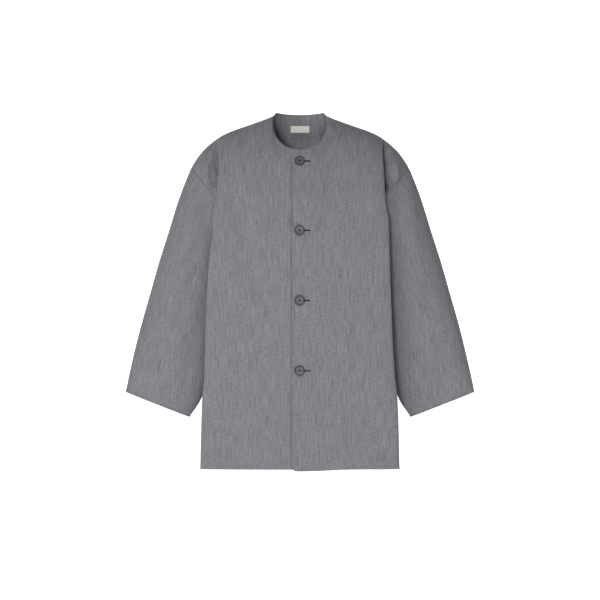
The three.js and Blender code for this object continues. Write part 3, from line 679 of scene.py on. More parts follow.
def edge_pinch(distance):
    """How far an edge's rounding draws both faces of the cloth in, from 1 at the edge to 0 on the flat."""
    share = 1 - np.clip(distance / (CLOTH_WALL / 2), 0, 1)
    return 1 - np.sqrt(np.clip(1 - share**2, 0, 1))


# The fine unevenness that drape and wear leave all over, longer along the cloth's warp than across it
RIPPLES = [
    dict(across=26, along=7, height=0.0007),
    dict(across=60, along=15, height=0.00034),
]
RIPPLE_EDGE_FADE = 0.012

# Each piece's number. Two numbers lie this far apart in the noise of the ripples, as do two layers of it, and
# this far apart on the length of cloth, so that no two pieces show the same ripples or weave.
PIECE_SEEDS = dict(front_right=0, front_left=1, back_right=2, back_left=3, sleeve_right=4, sleeve_left=5)
PIECE_RIPPLE_STEP = 3.7
LAYER_RIPPLE_STEP = 9.1
PIECE_APART = 1.0


def ripple(flat, piece):
    """How high a piece's ripples stand at its flat places."""
    heights = np.zeros(flat.shape[:2])
    for layer, row in enumerate(RIPPLES):
        seed = PIECE_SEEDS[piece] * PIECE_RIPPLE_STEP + layer * LAYER_RIPPLE_STEP
        places = flat.reshape(-1, 2) * (row["across"], row["along"])
        values = [noise.noise(Vector((u, v, seed))) for u, v in places]
        heights += np.array(values).reshape(heights.shape) * row["height"]
    return heights


def panel_flat(grid):
    """Flat places of a panel's points: across the warp from the middle, and along it from below the yoke."""
    level = int(np.searchsorted(fall_list(), 1.0))
    across = arc_lengths(grid, 1)
    middle = int(np.argmin(np.abs(grid[level, :, 0])))
    across = across - across[:, middle : middle + 1]
    lean = np.abs(grid[..., 0]) - np.abs(grid[level : level + 1, :, 0])
    in_yoke = (np.arange(len(grid)) < level)[:, None]
    u = np.where(in_yoke, across[level] + lean, across)
    steps = np.linalg.norm(np.diff(grid, axis=0), axis=-1)
    down = np.sqrt(np.maximum(steps**2 - np.diff(u, axis=0) ** 2, 0))
    v = np.concatenate([np.zeros((1, grid.shape[1])), np.cumsum(down, axis=0)])
    return np.stack([u, v - v[level]], axis=-1)


def sleeve_flat(grid):
    """Flat places of a sleeve's points: around it from its outer edge, and along it from the armhole."""
    closed = np.concatenate([grid, grid[:, :1]], axis=1)
    around = arc_lengths(closed, 1)
    count = grid.shape[1]
    u = np.where(np.arange(count) <= count // 2, around[:, :-1], around[:, :-1] - around[:, -1:])
    outer = arc_lengths(grid, 0)[:, :1]
    return np.stack([u, outer + np.zeros_like(u)], axis=-1)


# Making meshes

STRAND_SIDES = 6
STRAND_END_SHARE = 0.6


def link(name, mesh, material):
    """Sets a smooth mesh with its material into the scene as a piece."""
    mesh.polygons.foreach_set("use_smooth", [True] * len(mesh.polygons))
    mesh.materials.append(material)
    piece = bpy.data.objects.new(name, mesh)
    bpy.context.scene.collection.objects.link(piece)
    return piece


def keep_places(mesh, attribute, places):
    """Keeps a vector at each point of a mesh, for its finish to read."""
    layer = mesh.attributes.new(attribute, "FLOAT_VECTOR", "POINT")
    layer.data.foreach_set("vector", np.asarray(places, np.float32).ravel())


def shell(name, base, normals, pinch, turned, ring, flat, material):
    """A closed shell of cloth. base holds the points of its outer face, and pinch rounds its open edges."""
    outer = base - normals * (CLOTH_WALL / 2 * pinch)[..., None]
    inner = base - normals * (CLOTH_WALL - CLOTH_WALL / 2 * pinch)[..., None]
    rows, count = base.shape[:2]
    index = np.arange(rows * count).reshape(rows, count)
    shared = np.zeros((rows, count), bool)
    shared[[0, -1], :] = True
    if not ring:
        shared[:, [0, -1]] = True
    own = ~shared
    inner_index = index.copy()
    inner_index[own] = rows * count + np.arange(own.sum())
    points = np.concatenate([outer.reshape(-1, 3), inner[own]])
    places = np.concatenate([flat.reshape(-1, 2), flat[own]])
    face_side = np.concatenate([np.zeros(rows * count), np.ones(own.sum())])

    def quads(at, flipped):
        right = np.roll(at, -1, axis=1) if ring else at[:, 1:]
        left = at if ring else at[:, :-1]
        corners = np.stack([left[:-1], right[:-1], right[1:], left[1:]], axis=-1).reshape(-1, 4)
        return corners[:, ::-1] if flipped else corners

    faces = np.concatenate([quads(index, not turned), quads(inner_index, turned)])
    mesh = bpy.data.meshes.new(name)
    mesh.from_pydata(points.tolist(), [], faces.tolist())
    keep_places(mesh, "flat", np.column_stack([places, face_side]))
    return link(name, mesh, material)


def tubes(name, lines, ups, radius, material):
    """One mesh of many short round strands. lines holds the points of each, and ups its way up."""
    count, rings = lines.shape[:2]
    padded = np.concatenate([lines[:, :1], lines, lines[:, -1:]], axis=1)
    along = unit(padded[:, 2:] - padded[:, :-2])
    aside = unit(np.cross(along, ups[:, None]))
    upward = np.cross(aside, along)
    sides = STRAND_SIDES
    turns = 2 * math.pi * np.arange(sides) / sides
    taper = np.ones(rings)
    taper[[0, -1]] = STRAND_END_SHARE
    rounds = aside[:, :, None] * np.cos(turns)[:, None] + upward[:, :, None] * np.sin(turns)[:, None]
    walls = lines[:, :, None] + rounds * (radius * taper)[:, None, None]
    ends = lines[:, [0, -1]] + along[:, [0, -1]] * np.array([-radius, radius])[:, None] / 2
    points = np.concatenate([walls.reshape(count, -1, 3), ends], axis=1)
    around = np.arange(sides)
    after = (around + 1) % sides
    starts = [ring * sides for ring in range(rings)]
    quads = [
        np.stack([here + around, here + after, there + after, there + around])
        for here, there in zip(starts[:-1], starts[1:])
    ]
    start = rings * sides
    end = start + 1
    last = starts[-1]
    caps = [
        np.stack([after, around, np.full(sides, start)]),
        np.stack([last + around, last + after, np.full(sides, end)]),
    ]
    each = rings * sides + 2
    faces = []
    for strand in range(count):
        for corners in quads + caps:
            faces += (corners.T + strand * each).tolist()
    mesh = bpy.data.meshes.new(name)
    mesh.from_pydata(points.reshape(-1, 3).tolist(), [], faces)
    keep_places(mesh, "place", points.reshape(-1, 3))
    return link(name, mesh, material)


# The six pieces of cloth

SEAM_TURN_REACH = 0.006


def near(distance, reach):
    """1 at a distance of nothing, falling softly to 0 at reach."""
    return smooth(1 - distance / reach)


def turn_to_seam(normals, seam_normals, distance):
    """Turns a piece's normals to those that it shares along a seam, the more the nearer they are."""
    share = near(distance, SEAM_TURN_REACH)[..., None]
    return unit(normals * (1 - share) + seam_normals * share)


def lap_lift(piece, x):
    """How far the upper front is raised off the under one, which sinks a little beside the upper's edge."""
    if piece == "front_right":
        return -LAP_GROOVE * np.exp(-(((x + CLOSURE_OVERLAP + LAP_GROOVE_WIDE) / LAP_GROOVE_WIDE) ** 2))
    if piece != "front_left":
        return np.zeros_like(x)
    roll = LAP_ROLL * near(x + CLOSURE_OVERLAP, LAP_ROLL_WIDE)
    return roll + LAP_LIFT * (1 - smooth((x - LAP_FADE_START) / (LAP_FADE_END - LAP_FADE_START)))


def hem_drop(piece, grid, from_closure):
    """How much lower the upper front's hem hangs towards the closure, and how its corner rounds off."""
    if piece != "front_left":
        return np.zeros(grid.shape[:2])
    above_hem = HEM_DOWN + grid[..., 2]
    near_edge = smooth(1 - np.abs(grid[..., 0]) / LAP_HEM_DROP_REACH)
    drop = LAP_HEM_DROP * near_edge * near(above_hem, LAP_HEM_DROP_REACH)
    inset = np.clip(1 - from_closure / CORNER_RADIUS, 0, 1)
    rounding = CORNER_RADIUS * (1 - np.sqrt(1 - inset**2))
    return drop - rounding * near(above_hem, CORNER_REACH)


def panel_seam_normals(normals, face, ring_normals):
    """The normals that a panel's last column shares with the sleeve and, below it, with the other face."""
    falls = fall_list()
    front_count = len(ARMHOLE_FALLS)
    shared = ring_normals[:front_count]
    if face == BACK:
        shared = np.concatenate([ring_normals[:1], ring_normals[: front_count - 2 : -1]])[:front_count]
    armhole = np.stack([np.interp(falls, ARMHOLE_FALLS, shared[:, axis]) for axis in range(3)], axis=-1)
    side = normals[:, -1] * (1, 0, 1)
    return unit(np.where((falls < 2)[:, None], armhole, side))


def panel(piece, face, arm, material):
    """One front or back of the body as a thin shell with its folds, seams and finished edges."""
    grid, columns = plain_grid(face, arm)
    turned = face * arm > 0
    flat = panel_flat(grid) + (PIECE_SEEDS[piece] * PIECE_APART, 0)
    ring_normals = armhole_normals(arm, sleeve_grid(arm)[0])

    from_start = arc_lengths(grid, 1)
    from_end = from_start[:, -1:] - from_start
    from_top = arc_lengths(grid, 0)
    from_hem = from_top[-1:] - from_top
    to_neck = distance_to(grid, grid[0, columns <= 1])
    to_shoulder = distance_to(grid, grid[0, columns >= 1])
    edges = np.minimum.reduce([from_start, from_end, to_neck, from_hem, from_top])

    def seamed(normals):
        """The panel's normals turned to those of its neighbours along its seams."""
        last = panel_seam_normals(normals, face, ring_normals)
        turned_in = turn_to_seam(normals, last[:, None], from_end)
        shoulder = unit(turned_in[:1] * (1, 0, 1))
        turned_in = turn_to_seam(turned_in, shoulder, np.where(columns >= 1, from_top, np.inf))
        if face == BACK:
            turned_in = turn_to_seam(turned_in, unit(turned_in[:, :1] * (0, 1, 1)), from_start)
        return turned_in

    height = folds_at(BODY_FOLDS[piece], arm * grid[..., 0], -grid[..., 2])
    height *= smooth((FOLD_LAST_COLUMN - columns) / FOLD_FADE_COLUMNS)
    creases = folds_at(BODY_CREASES[piece], arm * grid[..., 0], -grid[..., 2])
    height += creases * smooth(np.minimum(from_end, from_top) / CREASE_EDGE_FADE)
    height += lap_lift(piece, grid[..., 0])
    height += seam_relief(to_shoulder) + seam_relief(from_end)
    height += edge_relief(to_neck) + edge_relief(from_hem)
    height += edge_relief(from_start) if face == FRONT else seam_relief(from_start)
    height += ripple(flat, piece) * smooth(edges / RIPPLE_EDGE_FADE)

    base = grid + seamed(grid_normals(grid, turned)) * height[..., None]
    base[:, -1] += unit(grid[:, -1] - grid[:, -2]) * SEAM_PRESS
    base[0, columns >= 1, 1] -= face * SEAM_PRESS
    if face == BACK:
        base[:, 0, 0] -= arm * SEAM_PRESS
    base[..., 2] -= hem_drop(piece, grid, from_start)
    pinch = edge_pinch(edges)
    pinch[[0, -1], :] = 1
    pinch[:, [0, -1]] = 1
    normals = seamed(grid_normals(base, turned))
    made = shell("cloth_" + piece, base, normals, pinch, turned, False, flat, material)
    return dict(piece=made, base=base, normals=normals, flat=flat)


def sleeve(piece, arm, material):
    """One sleeve as a thin shell with its folds, its underarm seam and its cuff."""
    grid, angles = sleeve_grid(arm)
    turned = arm > 0
    flat = sleeve_flat(grid) + (PIECE_SEEDS[piece] * PIECE_APART, 0)
    ring_normals = armhole_normals(arm, grid)
    from_top = arc_lengths(grid, 0)
    from_cuff = from_top[-1:] - from_top
    to_underarm = distance_to(grid, grid[:, len(angles) // 2])
    edges = np.minimum(from_top, from_cuff)
    out = arm * grid[..., 0]
    down = -grid[..., 2]
    facing = np.sin(angles) / HALF_FADE

    height = folds_at(SLEEVE_CREASES[piece + "_front"], out, down) * smooth(facing)
    height += folds_at(SLEEVE_CREASES[piece + "_back"], out, down) * smooth(-facing)
    height *= smooth(from_top / CREASE_EDGE_FADE)
    height += edge_relief(from_cuff, stitched=True) + seam_relief(from_top) + seam_relief(to_underarm)
    height += ripple(flat, piece) * smooth(edges / RIPPLE_EDGE_FADE)
    base = grid + turn_to_seam(grid_normals(grid, turned, True), ring_normals, from_top) * height[..., None]
    base[0] -= unit(grid[1] - grid[0]) * SEAM_PRESS
    pinch = edge_pinch(edges)
    pinch[[0, -1], :] = 1
    normals = turn_to_seam(grid_normals(base, turned, True), ring_normals, from_top)
    made = shell("cloth_" + piece, base, normals, pinch, turned, True, flat, material)
    return dict(piece=made, base=base, normals=normals, flat=flat, from_cuff=from_cuff)


# Stitches on the cuffs

STITCH_LENGTH = 0.0025
STITCH_PITCH = 0.0033
STITCH_RADIUS = 0.00024
STITCH_RISE = 0.00018

# The points of one stitch: how far along it they lie, and how far out of the cloth, as shares
STITCH_POINTS = [
    dict(along=0, rise=-0.6),
    dict(along=0.28, rise=1),
    dict(along=0.72, rise=1),
    dict(along=1, rise=-0.6),
]


def line_at(values, distance, inset):
    """Where each column of a grid lies at a distance of inset from its last row."""
    line = []
    for column in range(values.shape[1]):
        reach = distance[::-1, column]
        line.append([np.interp(inset, reach, values[::-1, column, axis]) for axis in range(3)])
    return np.array(line)


def cuff_stitches(name, made, material):
    """A row of stitches around a cuff, each of them a short strand that dips into the cloth at both ends."""
    line = line_at(made["base"], made["from_cuff"], STITCH_INSET)
    ups = line_at(made["normals"], made["from_cuff"], STITCH_INSET)
    line = np.concatenate([line, line[:1]])
    ups = np.concatenate([ups, ups[:1]])
    place = np.concatenate([[0], np.cumsum(np.linalg.norm(np.diff(line, axis=0), axis=1))])
    count = int(place[-1] / STITCH_PITCH)
    starts = np.arange(count) * place[-1] / count
    rises = column_of(STITCH_POINTS, "rise") * STITCH_RISE
    at = starts[:, None] + column_of(STITCH_POINTS, "along") * STITCH_LENGTH
    lines = np.stack([np.interp(at, place, line[:, axis], period=place[-1]) for axis in range(3)], axis=-1)
    raised = np.stack([np.interp(at, place, ups[:, axis], period=place[-1]) for axis in range(3)], axis=-1)
    return tubes(name, lines + raised * rises[:, None], unit(raised[:, 1]), STITCH_RADIUS, material)


# Buttons, their thread and the buttonholes

BUTTON_OUT = -0.0012
BUTTON_SIDES = 72

# The turned profile of a button from the middle of its face, over the raised rim, to the middle of its back
BUTTON_PROFILE = [
    dict(radius=0.0030, height=0.00205),
    dict(radius=0.0060, height=0.00210),
    dict(radius=0.0074, height=0.00228),
    dict(radius=0.0083, height=0.00268),
    dict(radius=0.0092, height=0.00295),
    dict(radius=0.0101, height=0.00292),
    dict(radius=0.0108, height=0.00255),
    dict(radius=0.0112, height=0.00190),
    dict(radius=0.0112, height=0.00110),
    dict(radius=0.0108, height=0.00048),
    dict(radius=0.0098, height=0.00010),
    dict(radius=0.0050, height=0),
]
BUTTON_FACE = BUTTON_PROFILE[0]["height"]
DRILL_SIDES = 24
DRILL_BOTTOM = -0.001
DRILL_TOP = 0.004
SHARP_EDGE = math.radians(38)

# The button's thread: where its strands lie side by side, and the points of half a strand, given by how far
# past the hole's middle they lie and how far over the button's face
THREAD_PLACES = (-0.0008, 0, 0.0008)
THREAD_RADIUS = 0.0005
THREAD_POINTS = [
    dict(past=0.0002, rise=-0.0012),
    dict(past=-0.0003, rise=0.0002),
]
THREAD_CREST = 0.0005

# The buttonhole: its run across from the middle, its stitches on both sides of the slit, and the bars at its
# ends. The points of a stitch and of a bar are given by their share of the buttonhole's half width.
BUTTONHOLE_START = -0.0040
BUTTONHOLE_END = 0.0212
BUTTONHOLE_HALF = 0.0017
BUTTONHOLE_PITCH = 0.00052
BUTTONHOLE_RADIUS = 0.00030
BUTTONHOLE_EVEN_REACH = 0.002
BUTTONHOLE_POINTS = [
    dict(aside=0.06, across_bar=-1, rise=-0.2),
    dict(aside=0.3, across_bar=-0.4, rise=0.8),
    dict(aside=0.75, across_bar=0.4, rise=0.8),
    dict(aside=1, across_bar=1, rise=-0.4),
]
BAR_COUNT = 3
BAR_HALF = BUTTONHOLE_HALF * 1.12


def circle(radius, sides, y, z):
    """Points around a level circle whose middle is at a depth y and a height z."""
    turns = [2 * math.pi * k / sides for k in range(sides)]
    return [(radius * math.cos(turn), y + radius * math.sin(turn), z) for turn in turns]


def button_mesh():
    """A turned disc facing +Z with two round holes cut through it, one over the other."""
    points = []
    for row in BUTTON_PROFILE:
        points += circle(row["radius"], BUTTON_SIDES, 0, row["height"])
    top = len(points)
    bottom = top + 1
    points += [(0, 0, BUTTON_FACE), (0, 0, 0)]
    starts = [ring * BUTTON_SIDES for ring in range(len(BUTTON_PROFILE))]
    faces = []
    for k in range(BUTTON_SIDES):
        after = (k + 1) % BUTTON_SIDES
        faces.append((top, k, after))
        for here, there in zip(starts[:-1], starts[1:]):
            faces.append((here + k, there + k, there + after, here + after))
        faces.append((bottom, starts[-1] + after, starts[-1] + k))
    mesh = bpy.data.meshes.new("button_blank")
    mesh.from_pydata(points, [], faces)
    blank = bpy.data.objects.new("button_blank", mesh)
    bpy.context.scene.collection.objects.link(blank)
    drills = [drill(blank, side * BUTTON_HOLE_SPACING / 2) for side in (-1, 1)]
    bpy.context.view_layer.update()
    evaluated = blank.evaluated_get(bpy.context.evaluated_depsgraph_get())
    drilled = bpy.data.meshes.new_from_object(evaluated)
    for used in [blank, *drills]:
        bpy.data.objects.remove(used)
    drilled.set_sharp_from_angle(angle=SHARP_EDGE)
    return drilled


def drill(blank, y):
    """Sets a modifier on the blank that drills one hole, and returns the drill."""
    points = circle(BUTTON_HOLE_RADIUS, DRILL_SIDES, y, DRILL_BOTTOM)
    points += circle(BUTTON_HOLE_RADIUS, DRILL_SIDES, y, DRILL_TOP)
    around = range(DRILL_SIDES)
    after = [(k + 1) % DRILL_SIDES for k in around]
    faces = [(k, after[k], DRILL_SIDES + after[k], DRILL_SIDES + k) for k in around]
    faces += [tuple(reversed(around)), tuple(DRILL_SIDES + k for k in around)]
    mesh = bpy.data.meshes.new("drill")
    mesh.from_pydata(points, [], faces)
    tool = bpy.data.objects.new("drill", mesh)
    bpy.context.scene.collection.objects.link(tool)
    cut = blank.modifiers.new("drill", "BOOLEAN")
    cut.operation = "DIFFERENCE"
    cut.solver = "EXACT"
    cut.object = tool
    return tool


class Front:
    """The upper front's outer face, to lay small things on."""

    def __init__(self, made):
        mesh = made["piece"].data
        corners = [vertex.co for vertex in mesh.vertices]
        self.tree = BVHTree.FromPolygons(corners, [polygon.vertices for polygon in mesh.polygons])

    def point(self, x, z):
        """The place on the face straight behind x and z."""
        place, *_ = self.tree.ray_cast(Vector((x, -1, z)), Vector((0, 1, 0)))
        return np.array(place)

    def outward(self, x, z, reach):
        """The direction out of the face at a place, evened out over the reach around it."""
        rise = self.point(x, z + reach) - self.point(x, z - reach)
        across = self.point(x + reach, z) - self.point(x - reach, z)
        return unit(np.cross(across, rise))


def button(index, front, drilled, material):
    """One button laid on the upper front and square to it."""
    name = f"turned_button_{index + 1}"
    z = -FIRST_BUTTON_DOWN - index * BUTTON_PITCH
    outward = front.outward(BUTTON_OUT, z, BUTTON_RADIUS)
    across = unit(np.cross((0, 0, 1), outward))
    upward = np.cross(outward, across)
    turn = np.stack([across, upward, outward])
    centre = front.point(BUTTON_OUT, z) + outward * BUTTON_LIFT
    mesh = drilled.copy()
    local = np.array([vertex.co for vertex in mesh.vertices])
    mesh.vertices.foreach_set("co", (local @ turn + centre).astype(np.float32).ravel())
    mesh.name = name
    keep_places(mesh, "disc", local)
    made = link(name, mesh, material)
    return dict(piece=made, centre=centre, turn=turn)


def button_thread(index, made, material):
    """The strands that pass from one of a button's holes over its face to the other."""
    half = [(BUTTON_HOLE_SPACING / 2 + point["past"], point["rise"]) for point in THREAD_POINTS]
    path = [(-y, rise) for y, rise in half] + [(0, THREAD_CREST)] + half[::-1]
    lines = np.array([[(x, y, BUTTON_FACE + rise) for y, rise in path] for x in THREAD_PLACES])
    lines = lines @ made["turn"] + made["centre"]
    ups = np.tile(made["turn"][2], (len(THREAD_PLACES), 1))
    return tubes(f"button_thread_{index + 1}", lines, ups, THREAD_RADIUS, material)


def buttonhole(index, front, material):
    """A worked buttonhole: close stitches on both sides of its slit, and a bar of stitches at each end."""
    z = -FIRST_BUTTON_DOWN - index * BUTTON_PITCH
    strands = []
    for x in np.arange(BUTTONHOLE_START, BUTTONHOLE_END, BUTTONHOLE_PITCH):
        for side in (-1, 1):
            strands.append([(x, side * point["aside"] * BUTTONHOLE_HALF) for point in BUTTONHOLE_POINTS])
    for end, step in ((BUTTONHOLE_START, BUTTONHOLE_PITCH), (BUTTONHOLE_END, -BUTTONHOLE_PITCH)):
        for k in range(BAR_COUNT):
            x = end + step * (k - 1)
            strands.append([(x, point["across_bar"] * BAR_HALF) for point in BUTTONHOLE_POINTS])
    rises = column_of(BUTTONHOLE_POINTS, "rise") * BUTTONHOLE_RADIUS
    lines = []
    ups = []
    for strand in strands:
        x, y = strand[1]
        outward = front.outward(x, z + y, BUTTONHOLE_EVEN_REACH)
        lines.append([front.point(x, z + y) + outward * rise for (x, y), rise in zip(strand, rises)])
        ups.append(outward)
    return tubes(f"buttonhole_{index + 1}", np.array(lines), np.array(ups), BUTTONHOLE_RADIUS, material)


# The bare woven label inside the back neck

LABEL_WALL = 0.0006
LABEL_LIFT = 0.0003
LABEL_FLATNESS = 0.5
LABEL_STEPS_ACROSS = 24
LABEL_STEPS_DOWN = 10

# The stitches at the label's ends. Their run down it and their length are measured in its steps down.
LABEL_STITCH_PITCH = 0.0016
LABEL_STITCH_RADIUS = 0.00016
LABEL_STITCH_RISE = 0.00012
LABEL_STITCH_INSET = 0.4
LABEL_STITCH_LENGTH = 0.7
LABEL_STITCH_RISES = (-0.3, 1, 1, -0.3)


def label_strip(backs, material):
    """The label as a thin closed strip that follows the inner face of the two backs."""
    trees = []
    for made in backs:
        mesh = made["piece"].data
        corners = [vertex.co for vertex in mesh.vertices]
        trees.append(BVHTree.FromPolygons(corners, [polygon.vertices for polygon in mesh.polygons]))

    def inner(x, z):
        """How far back the nearer of the two inner faces lies."""
        hits = [tree.ray_cast(Vector((x, 0, z)), Vector((0, 1, 0)))[0] for tree in trees]
        return min(hit.y for hit in hits if hit is not None)

    xs = np.linspace(-LABEL_WIDTH / 2, LABEL_WIDTH / 2, LABEL_STEPS_ACROSS + 1)
    zs = -LABEL_TOP_DOWN - np.linspace(0, LABEL_HEIGHT, LABEL_STEPS_DOWN + 1)
    depths = np.array([[inner(x, z) for x in xs] for z in zs])
    level = depths.min() * LABEL_FLATNESS + depths * (1 - LABEL_FLATNESS) - LABEL_LIFT
    level = np.minimum(level, depths - LABEL_LIFT)
    across, heights = np.meshgrid(xs, zs)
    face = np.stack([across, level - LABEL_WALL, heights], axis=-1)
    back = face + (0, LABEL_WALL, 0)
    rows, count = face.shape[:2]
    index = np.arange(rows * count).reshape(rows, count)
    behind = index + rows * count

    def quads(at):
        return np.stack([at[:-1, :-1], at[1:, :-1], at[1:, 1:], at[:-1, 1:]], axis=-1).reshape(-1, 4)

    rim = np.concatenate([index[0, :-1], index[:-1, -1], index[-1, :0:-1], index[:0:-1, 0]])
    after = np.roll(rim, -1)
    sides = np.stack([rim, after, after + rows * count, rim + rows * count], axis=-1)
    faces = np.concatenate([quads(index), quads(behind)[:, ::-1], sides])
    mesh = bpy.data.meshes.new("label_strip")
    mesh.from_pydata(np.concatenate([face.reshape(-1, 3), back.reshape(-1, 3)]).tolist(), [], faces.tolist())
    mesh.set_sharp_from_angle(angle=SHARP_EDGE)
    keep_places(mesh, "place", [vertex.co for vertex in mesh.vertices])
    return dict(piece=link("label_strip", mesh, material), face=face)


def label_stitches(made, material):
    """A line of small stitches that holds the label at each end."""
    face = made["face"]
    steps = np.arange(len(face))
    rises = np.array(LABEL_STITCH_RISES) * LABEL_STITCH_RISE
    last = steps[-1] - LABEL_STITCH_INSET
    lines = []
    for column in (1, -2):
        for start in np.linspace(LABEL_STITCH_INSET, last, int(LABEL_HEIGHT / LABEL_STITCH_PITCH)):
            at = np.linspace(start, start + LABEL_STITCH_LENGTH, len(rises))
            line = np.stack([np.interp(at, steps, face[:, column, axis]) for axis in range(3)], axis=-1)
            line[:, 1] -= rises
            lines.append(line)
    ups = np.tile((0.0, -1.0, 0.0), (len(lines), 1))
    return tubes("label_stitches", np.array(lines), ups, LABEL_STITCH_RADIUS, material)


# Finishes

CLOUD_DETAIL = 2.0
FINE_CLOUD_DETAIL = 3.0


class Signal:
    """A value on its way to a socket. The operators add Math nodes, so a finish reads as a formula."""

    def __init__(self, finish, socket):
        self.finish = finish
        self.socket = socket

    def math(self, operation, *values):
        """A Math node of these values, in the order of its sockets."""
        return self.finish.add("ShaderNodeMath", {"operation": operation}, dict(enumerate(values)))

    def __add__(self, other):
        return self.math("ADD", self, other)

    def __sub__(self, other):
        return self.math("SUBTRACT", self, other)

    def __mul__(self, other):
        return self.math("MULTIPLY", self, other)

    def __truediv__(self, other):
        return self.math("DIVIDE", self, other)

    def __pow__(self, other):
        return self.math("POWER", self, other)

    def __radd__(self, other):
        return self.math("ADD", other, self)

    def __rsub__(self, other):
        return self.math("SUBTRACT", other, self)

    def __rmul__(self, other):
        return self.math("MULTIPLY", other, self)

    def sine(self):
        return self.math("SINE", self)

    def size(self):
        """The value without its sign."""
        return self.math("ABSOLUTE", self)

    def rising(self, low, high):
        """0 below low and 1 above high, on a smooth curve between them."""
        settings = {"interpolation_type": "SMOOTHSTEP"}
        return self.finish.add("ShaderNodeMapRange", settings, {0: self, 1: low, 2: high})


class Finish:
    """One material's nodes. add() takes a node's type, its settings and its sockets' values or links."""

    def __init__(self, name):
        self.material = bpy.data.materials.new(name)
        self.material.use_nodes = True
        self.tree = self.material.node_tree
        self.tree.nodes.clear()

    def add(self, kind, settings=None, sockets=None, output=0):
        """Adds a node, and gives one of its outputs."""
        node = self.tree.nodes.new(kind)
        for setting, value in (settings or {}).items():
            setattr(node, setting, value)
        for socket, value in (sockets or {}).items():
            if isinstance(value, Signal):
                self.tree.links.new(value.socket, node.inputs[socket])
            else:
                node.inputs[socket].default_value = value
        return Signal(self, node.outputs[output])

    def places(self, attribute):
        """The three parts of a vector that the mesh keeps at its points."""
        vector = self.add("ShaderNodeAttribute", {"attribute_name": attribute}, output=1)
        return [self.add("ShaderNodeSeparateXYZ", {}, {0: vector}, output=part) for part in range(3)]

    def cloud(self, x, y, z, detail=CLOUD_DETAIL):
        """Soft noise around 0.5 at a scaled place."""
        place = self.add("ShaderNodeCombineXYZ", {}, {0: x, 1: y, 2: z})
        return self.add("ShaderNodeTexNoise", {}, {"Vector": place, "Scale": 1.0, "Detail": detail})

    def even_cloud(self, x, y, z, scale, detail=CLOUD_DETAIL):
        """Soft noise that is scaled alike all ways."""
        return self.cloud(x * scale, y * scale, z * scale, detail)

    def mix(self, share, first, second):
        """A colour between two others."""
        return self.add("ShaderNodeMix", {"data_type": "RGBA"}, {0: share, 6: first, 7: second}, output=2)

    def bump(self, height, distance, strength=1.0):
        return self.add("ShaderNodeBump", {}, {"Height": height, "Distance": distance, "Strength": strength})

    def surface(self, **sockets):
        """Ends the nodes in a surface whose sockets are named with _ for a space, and gives the material."""
        names = {name.replace("_", " "): value for name, value in sockets.items()}
        shader = self.add("ShaderNodeBsdfPrincipled", {}, names)
        end = self.tree.nodes.new("ShaderNodeOutputMaterial")
        self.tree.links.new(shader.socket, end.inputs[0])
        return self.material


def colour(red, green, blue):
    """A colour with no transparency."""
    return (red, green, blue, 1.0)


WHITE = colour(1, 1, 1)

# The weave: the spacing of its threads, and its two tones
WARP_PITCH = 0.00056
WEFT_PITCH = 0.00062
CLOTH_DARK = colour(0.100, 0.0995, 0.112)
CLOTH_LIGHT = colour(0.330, 0.329, 0.352)

# The kinds of unevenness in the yarn: how many clouds of each lie in a metre across the warp and along it,
# how fine they are, and how strongly they mark the cloth's tone
UNEVENNESS = dict(
    slub=dict(across=470, along=26, detail=CLOUD_DETAIL, tone=0.86),
    streak=dict(across=250, along=22, detail=CLOUD_DETAIL, tone=0.30),
    band=dict(across=40, along=6, detail=CLOUD_DETAIL, tone=0.14),
    weft=dict(across=90, along=480, detail=CLOUD_DETAIL, tone=0.62),
    grain=dict(across=520, along=480, detail=FINE_CLOUD_DETAIL, tone=1.0),
)

# How far apart the kinds and the cloth's two faces lie in the noise, and how much lighter the inner face is
# painted: painted light that brightens the jacket's shaded inside
KINDS_APART = 3
FACES_APART = 7.3
INNER_FACE_PAINTED_LIGHT = 0.2

# The relief of the weave: of each thread, of their crossings, and of the slubs and the weft's unevenness
THREAD_RELIEF = 0.6
CROSSING_RELIEF = 0.5
WEAVE_RELIEF = 0.5
SLUB_RELIEF = 1.6
WEFT_RELIEF = 0.9
RELIEF_DEPTH = 0.00016
RELIEF_STRENGTH = 0.8


def cloth_finish():
    """Grey melange plain weave with slubby warp streaks, finer weft lines, a grain and a matt nap, and
    painted light that makes its inner face lighter.
    """
    finish = Finish("melange_cloth")
    u, v, side = finish.places("flat")
    uneven = {}
    # The inner face is painted lighter, as painted light for the jacket's shaded inside
    tone = side * INNER_FACE_PAINTED_LIGHT + 0.5
    for order, (kind, row) in enumerate(UNEVENNESS.items()):
        apart = side * FACES_APART + KINDS_APART * order
        cloud = finish.cloud(u * row["across"], v * row["along"], apart, row["detail"])
        uneven[kind] = cloud - 0.5
        tone += uneven[kind] * row["tone"]
    warp_thread = (u * (math.pi / WARP_PITCH)).sine()
    weft_thread = (v * (math.pi / WEFT_PITCH)).sine()
    threads = (warp_thread.size() + weft_thread.size()) * THREAD_RELIEF
    crossings = warp_thread * weft_thread * CROSSING_RELIEF
    height = (threads + crossings) * WEAVE_RELIEF
    height += uneven["slub"] * SLUB_RELIEF + uneven["weft"] * WEFT_RELIEF
    return finish.surface(
        Base_Color=finish.mix(tone, CLOTH_DARK, CLOTH_LIGHT),
        Roughness=0.86 + uneven["grain"] * 0.1,
        Normal=finish.bump(height, RELIEF_DEPTH, RELIEF_STRENGTH),
        Sheen_Weight=0.12,
        Sheen_Roughness=0.45,
        Specular_IOR_Level=0.16,
    )
